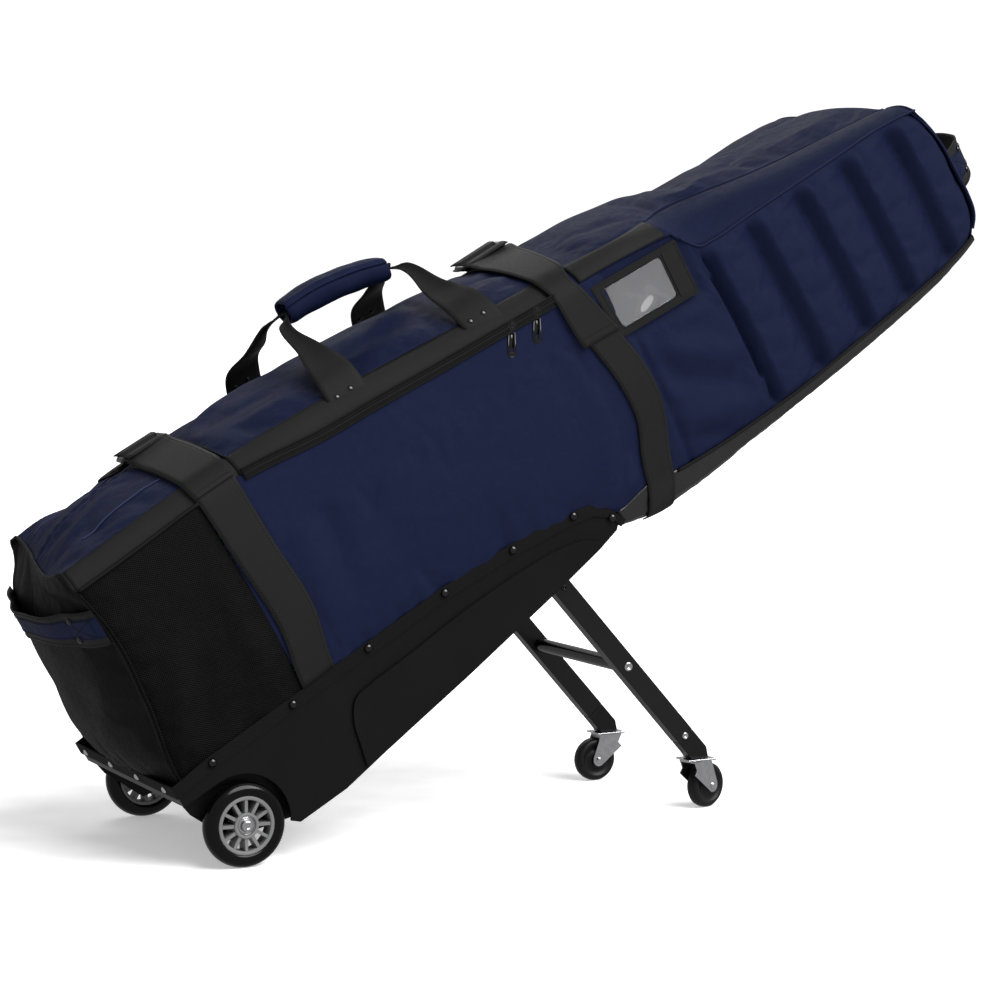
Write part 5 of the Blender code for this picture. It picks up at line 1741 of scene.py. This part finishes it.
def zip_pulls():
    """Loops of black nickel with a rounded rim, filled in but for a slot at the bottom."""
    neck, reach, wide = -0.0085, 0.0335, 0.0052
    rim = [(-0.0040, neck), *arc((0, -reach), wide, 180, 360, 12), (0.0040, neck)]
    for name in ("lower", "upper"):
        low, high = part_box(f"{name}_zip_pull")
        eye = Vector(((low[0] + high[0]) / 2, (low[1] + high[1]) / 2, high[2] - 0.0062))
        loop = tube("rim", [(eye.x + x, eye.y, eye.z + z) for x, z in rim], 0.0011, BLACK_METAL)
        x, z = mesh_grid(np.array([-0.0030, 0.0030]), np.linspace(-0.0285, neck, 3))
        fill = panel("fill", np.stack([eye.x + x, eye.y + 0 * x, eye.z + z], -1), GLOSS, 0.0016)
        eased(f"{name}_zip_pull", BLACK_METAL, 0.0004, extra=[loop, fill])


cinch_straps()
zip_tapes()
lid_bindings()
carry_handle()
grip()
end_handles()
name_window()
tray_and_trim()
wheels()
legs()
casters()
linings()
zip_pulls()
for node in ("lower_zip_slider", "upper_zip_slider"):
    eased(node, BLACK_METAL, 0.0004)

# Floor, light and camera ------------------------------------------------------------------------

CAMERA_AT = Vector((AXLE.x - 1.1166, -2.9357, 0.6619))
CAMERA_TURN = math.radians(-27.653)
CAMERA_RISE = math.radians(4.554)
CAMERA_LENS = 93.92
ROOM_LIGHT = 0.40
SUN_POWER = 4.2
SUN_FROM = (0.34, -0.70, 0.95)
FLOOR_HALF = 40
BACKDROP_RADIUS = 60


def turned_back(direction):
    """The turn that makes a light or camera look against a direction."""
    return Vector(direction).to_track_quat("Z", "Y").to_euler()


def stage():
    corners = ((-1, -1), (1, -1), (1, 1), (-1, 1))
    floor = new_object("floor", [(x * FLOOR_HALF, y * FLOOR_HALF, 0) for x, y in corners],
                       [(0, 1, 2, 3)],
                       plastic_material("pale_floor", (0.93, 0.93, 0.93), 0.8, 0.05, 0.0, 0.02,
                                        Specular_IOR_Level=0.0, Emission_Strength=0.34,
                                        Emission_Color=(1, 1, 1, 1)))
    floor.visible_glossy = False
    world = bpy.data.worlds.new("studio")
    bpy.context.scene.world = world
    world.use_nodes = True
    background = world.node_tree.nodes["Background"]
    background.inputs[0].default_value = (1, 1, 1, 1)
    background.inputs[1].default_value = ROOM_LIGHT
    shape = bmesh.new()
    bmesh.ops.create_icosphere(shape, subdivisions=4, radius=BACKDROP_RADIUS)
    mesh = bpy.data.meshes.new("backdrop")
    shape.to_mesh(mesh)
    shape.free()
    white = bpy.data.materials.new("white_backdrop")
    white.use_nodes = True
    shader = white.node_tree.nodes["Principled BSDF"]
    shader.inputs["Base Color"].default_value = (0, 0, 0, 1)
    shader.inputs["Specular IOR Level"].default_value = 0
    shader.inputs["Emission Color"].default_value = (1, 1, 1, 1)
    shader.inputs["Emission Strength"].default_value = 1.1
    mesh.materials.append(white)
    backdrop = linked("backdrop", mesh)
    backdrop.visible_diffuse = backdrop.visible_glossy = backdrop.visible_shadow = False
    backdrop.visible_transmission = backdrop.visible_volume_scatter = False
    sun = bpy.data.lights.new("sun", "SUN")
    sun.energy = SUN_POWER
    sun.angle = math.radians(50)
    linked("sun", sun).rotation_euler = turned_back(SUN_FROM)
    for name, at, aim, wide, high, power in (
        ("key", (1.9, -2.3, 2.6), (0.1, 0, 0.55), 1.6, 1.2, 26),
        ("rim", (0.6, 2.6, 2.6), (0.1, 0, 0.6), 2.4, 1.0, 22),
    ):
        lamp = bpy.data.lights.new(name, "AREA")
        lamp.shape = "RECTANGLE"
        lamp.size, lamp.size_y = wide, high
        lamp.energy = power
        holder = linked(name, lamp)
        holder.location = at
        holder.rotation_euler = turned_back(Vector(at) - Vector(aim))
    bpy.context.scene.view_settings.view_transform = "Standard"


def camera():
    lens = bpy.data.cameras.new("camera")
    lens.lens = CAMERA_LENS
    lens.sensor_width = 36
    holder = linked("camera", lens)
    turn, rise = CAMERA_TURN, CAMERA_RISE
    holder.location = CAMERA_AT
    holder.rotation_euler = turned_back((math.sin(turn) * math.cos(rise),
                                         -math.cos(turn) * math.cos(rise), math.sin(rise)))
    bpy.context.scene.camera = holder


stage()
camera()
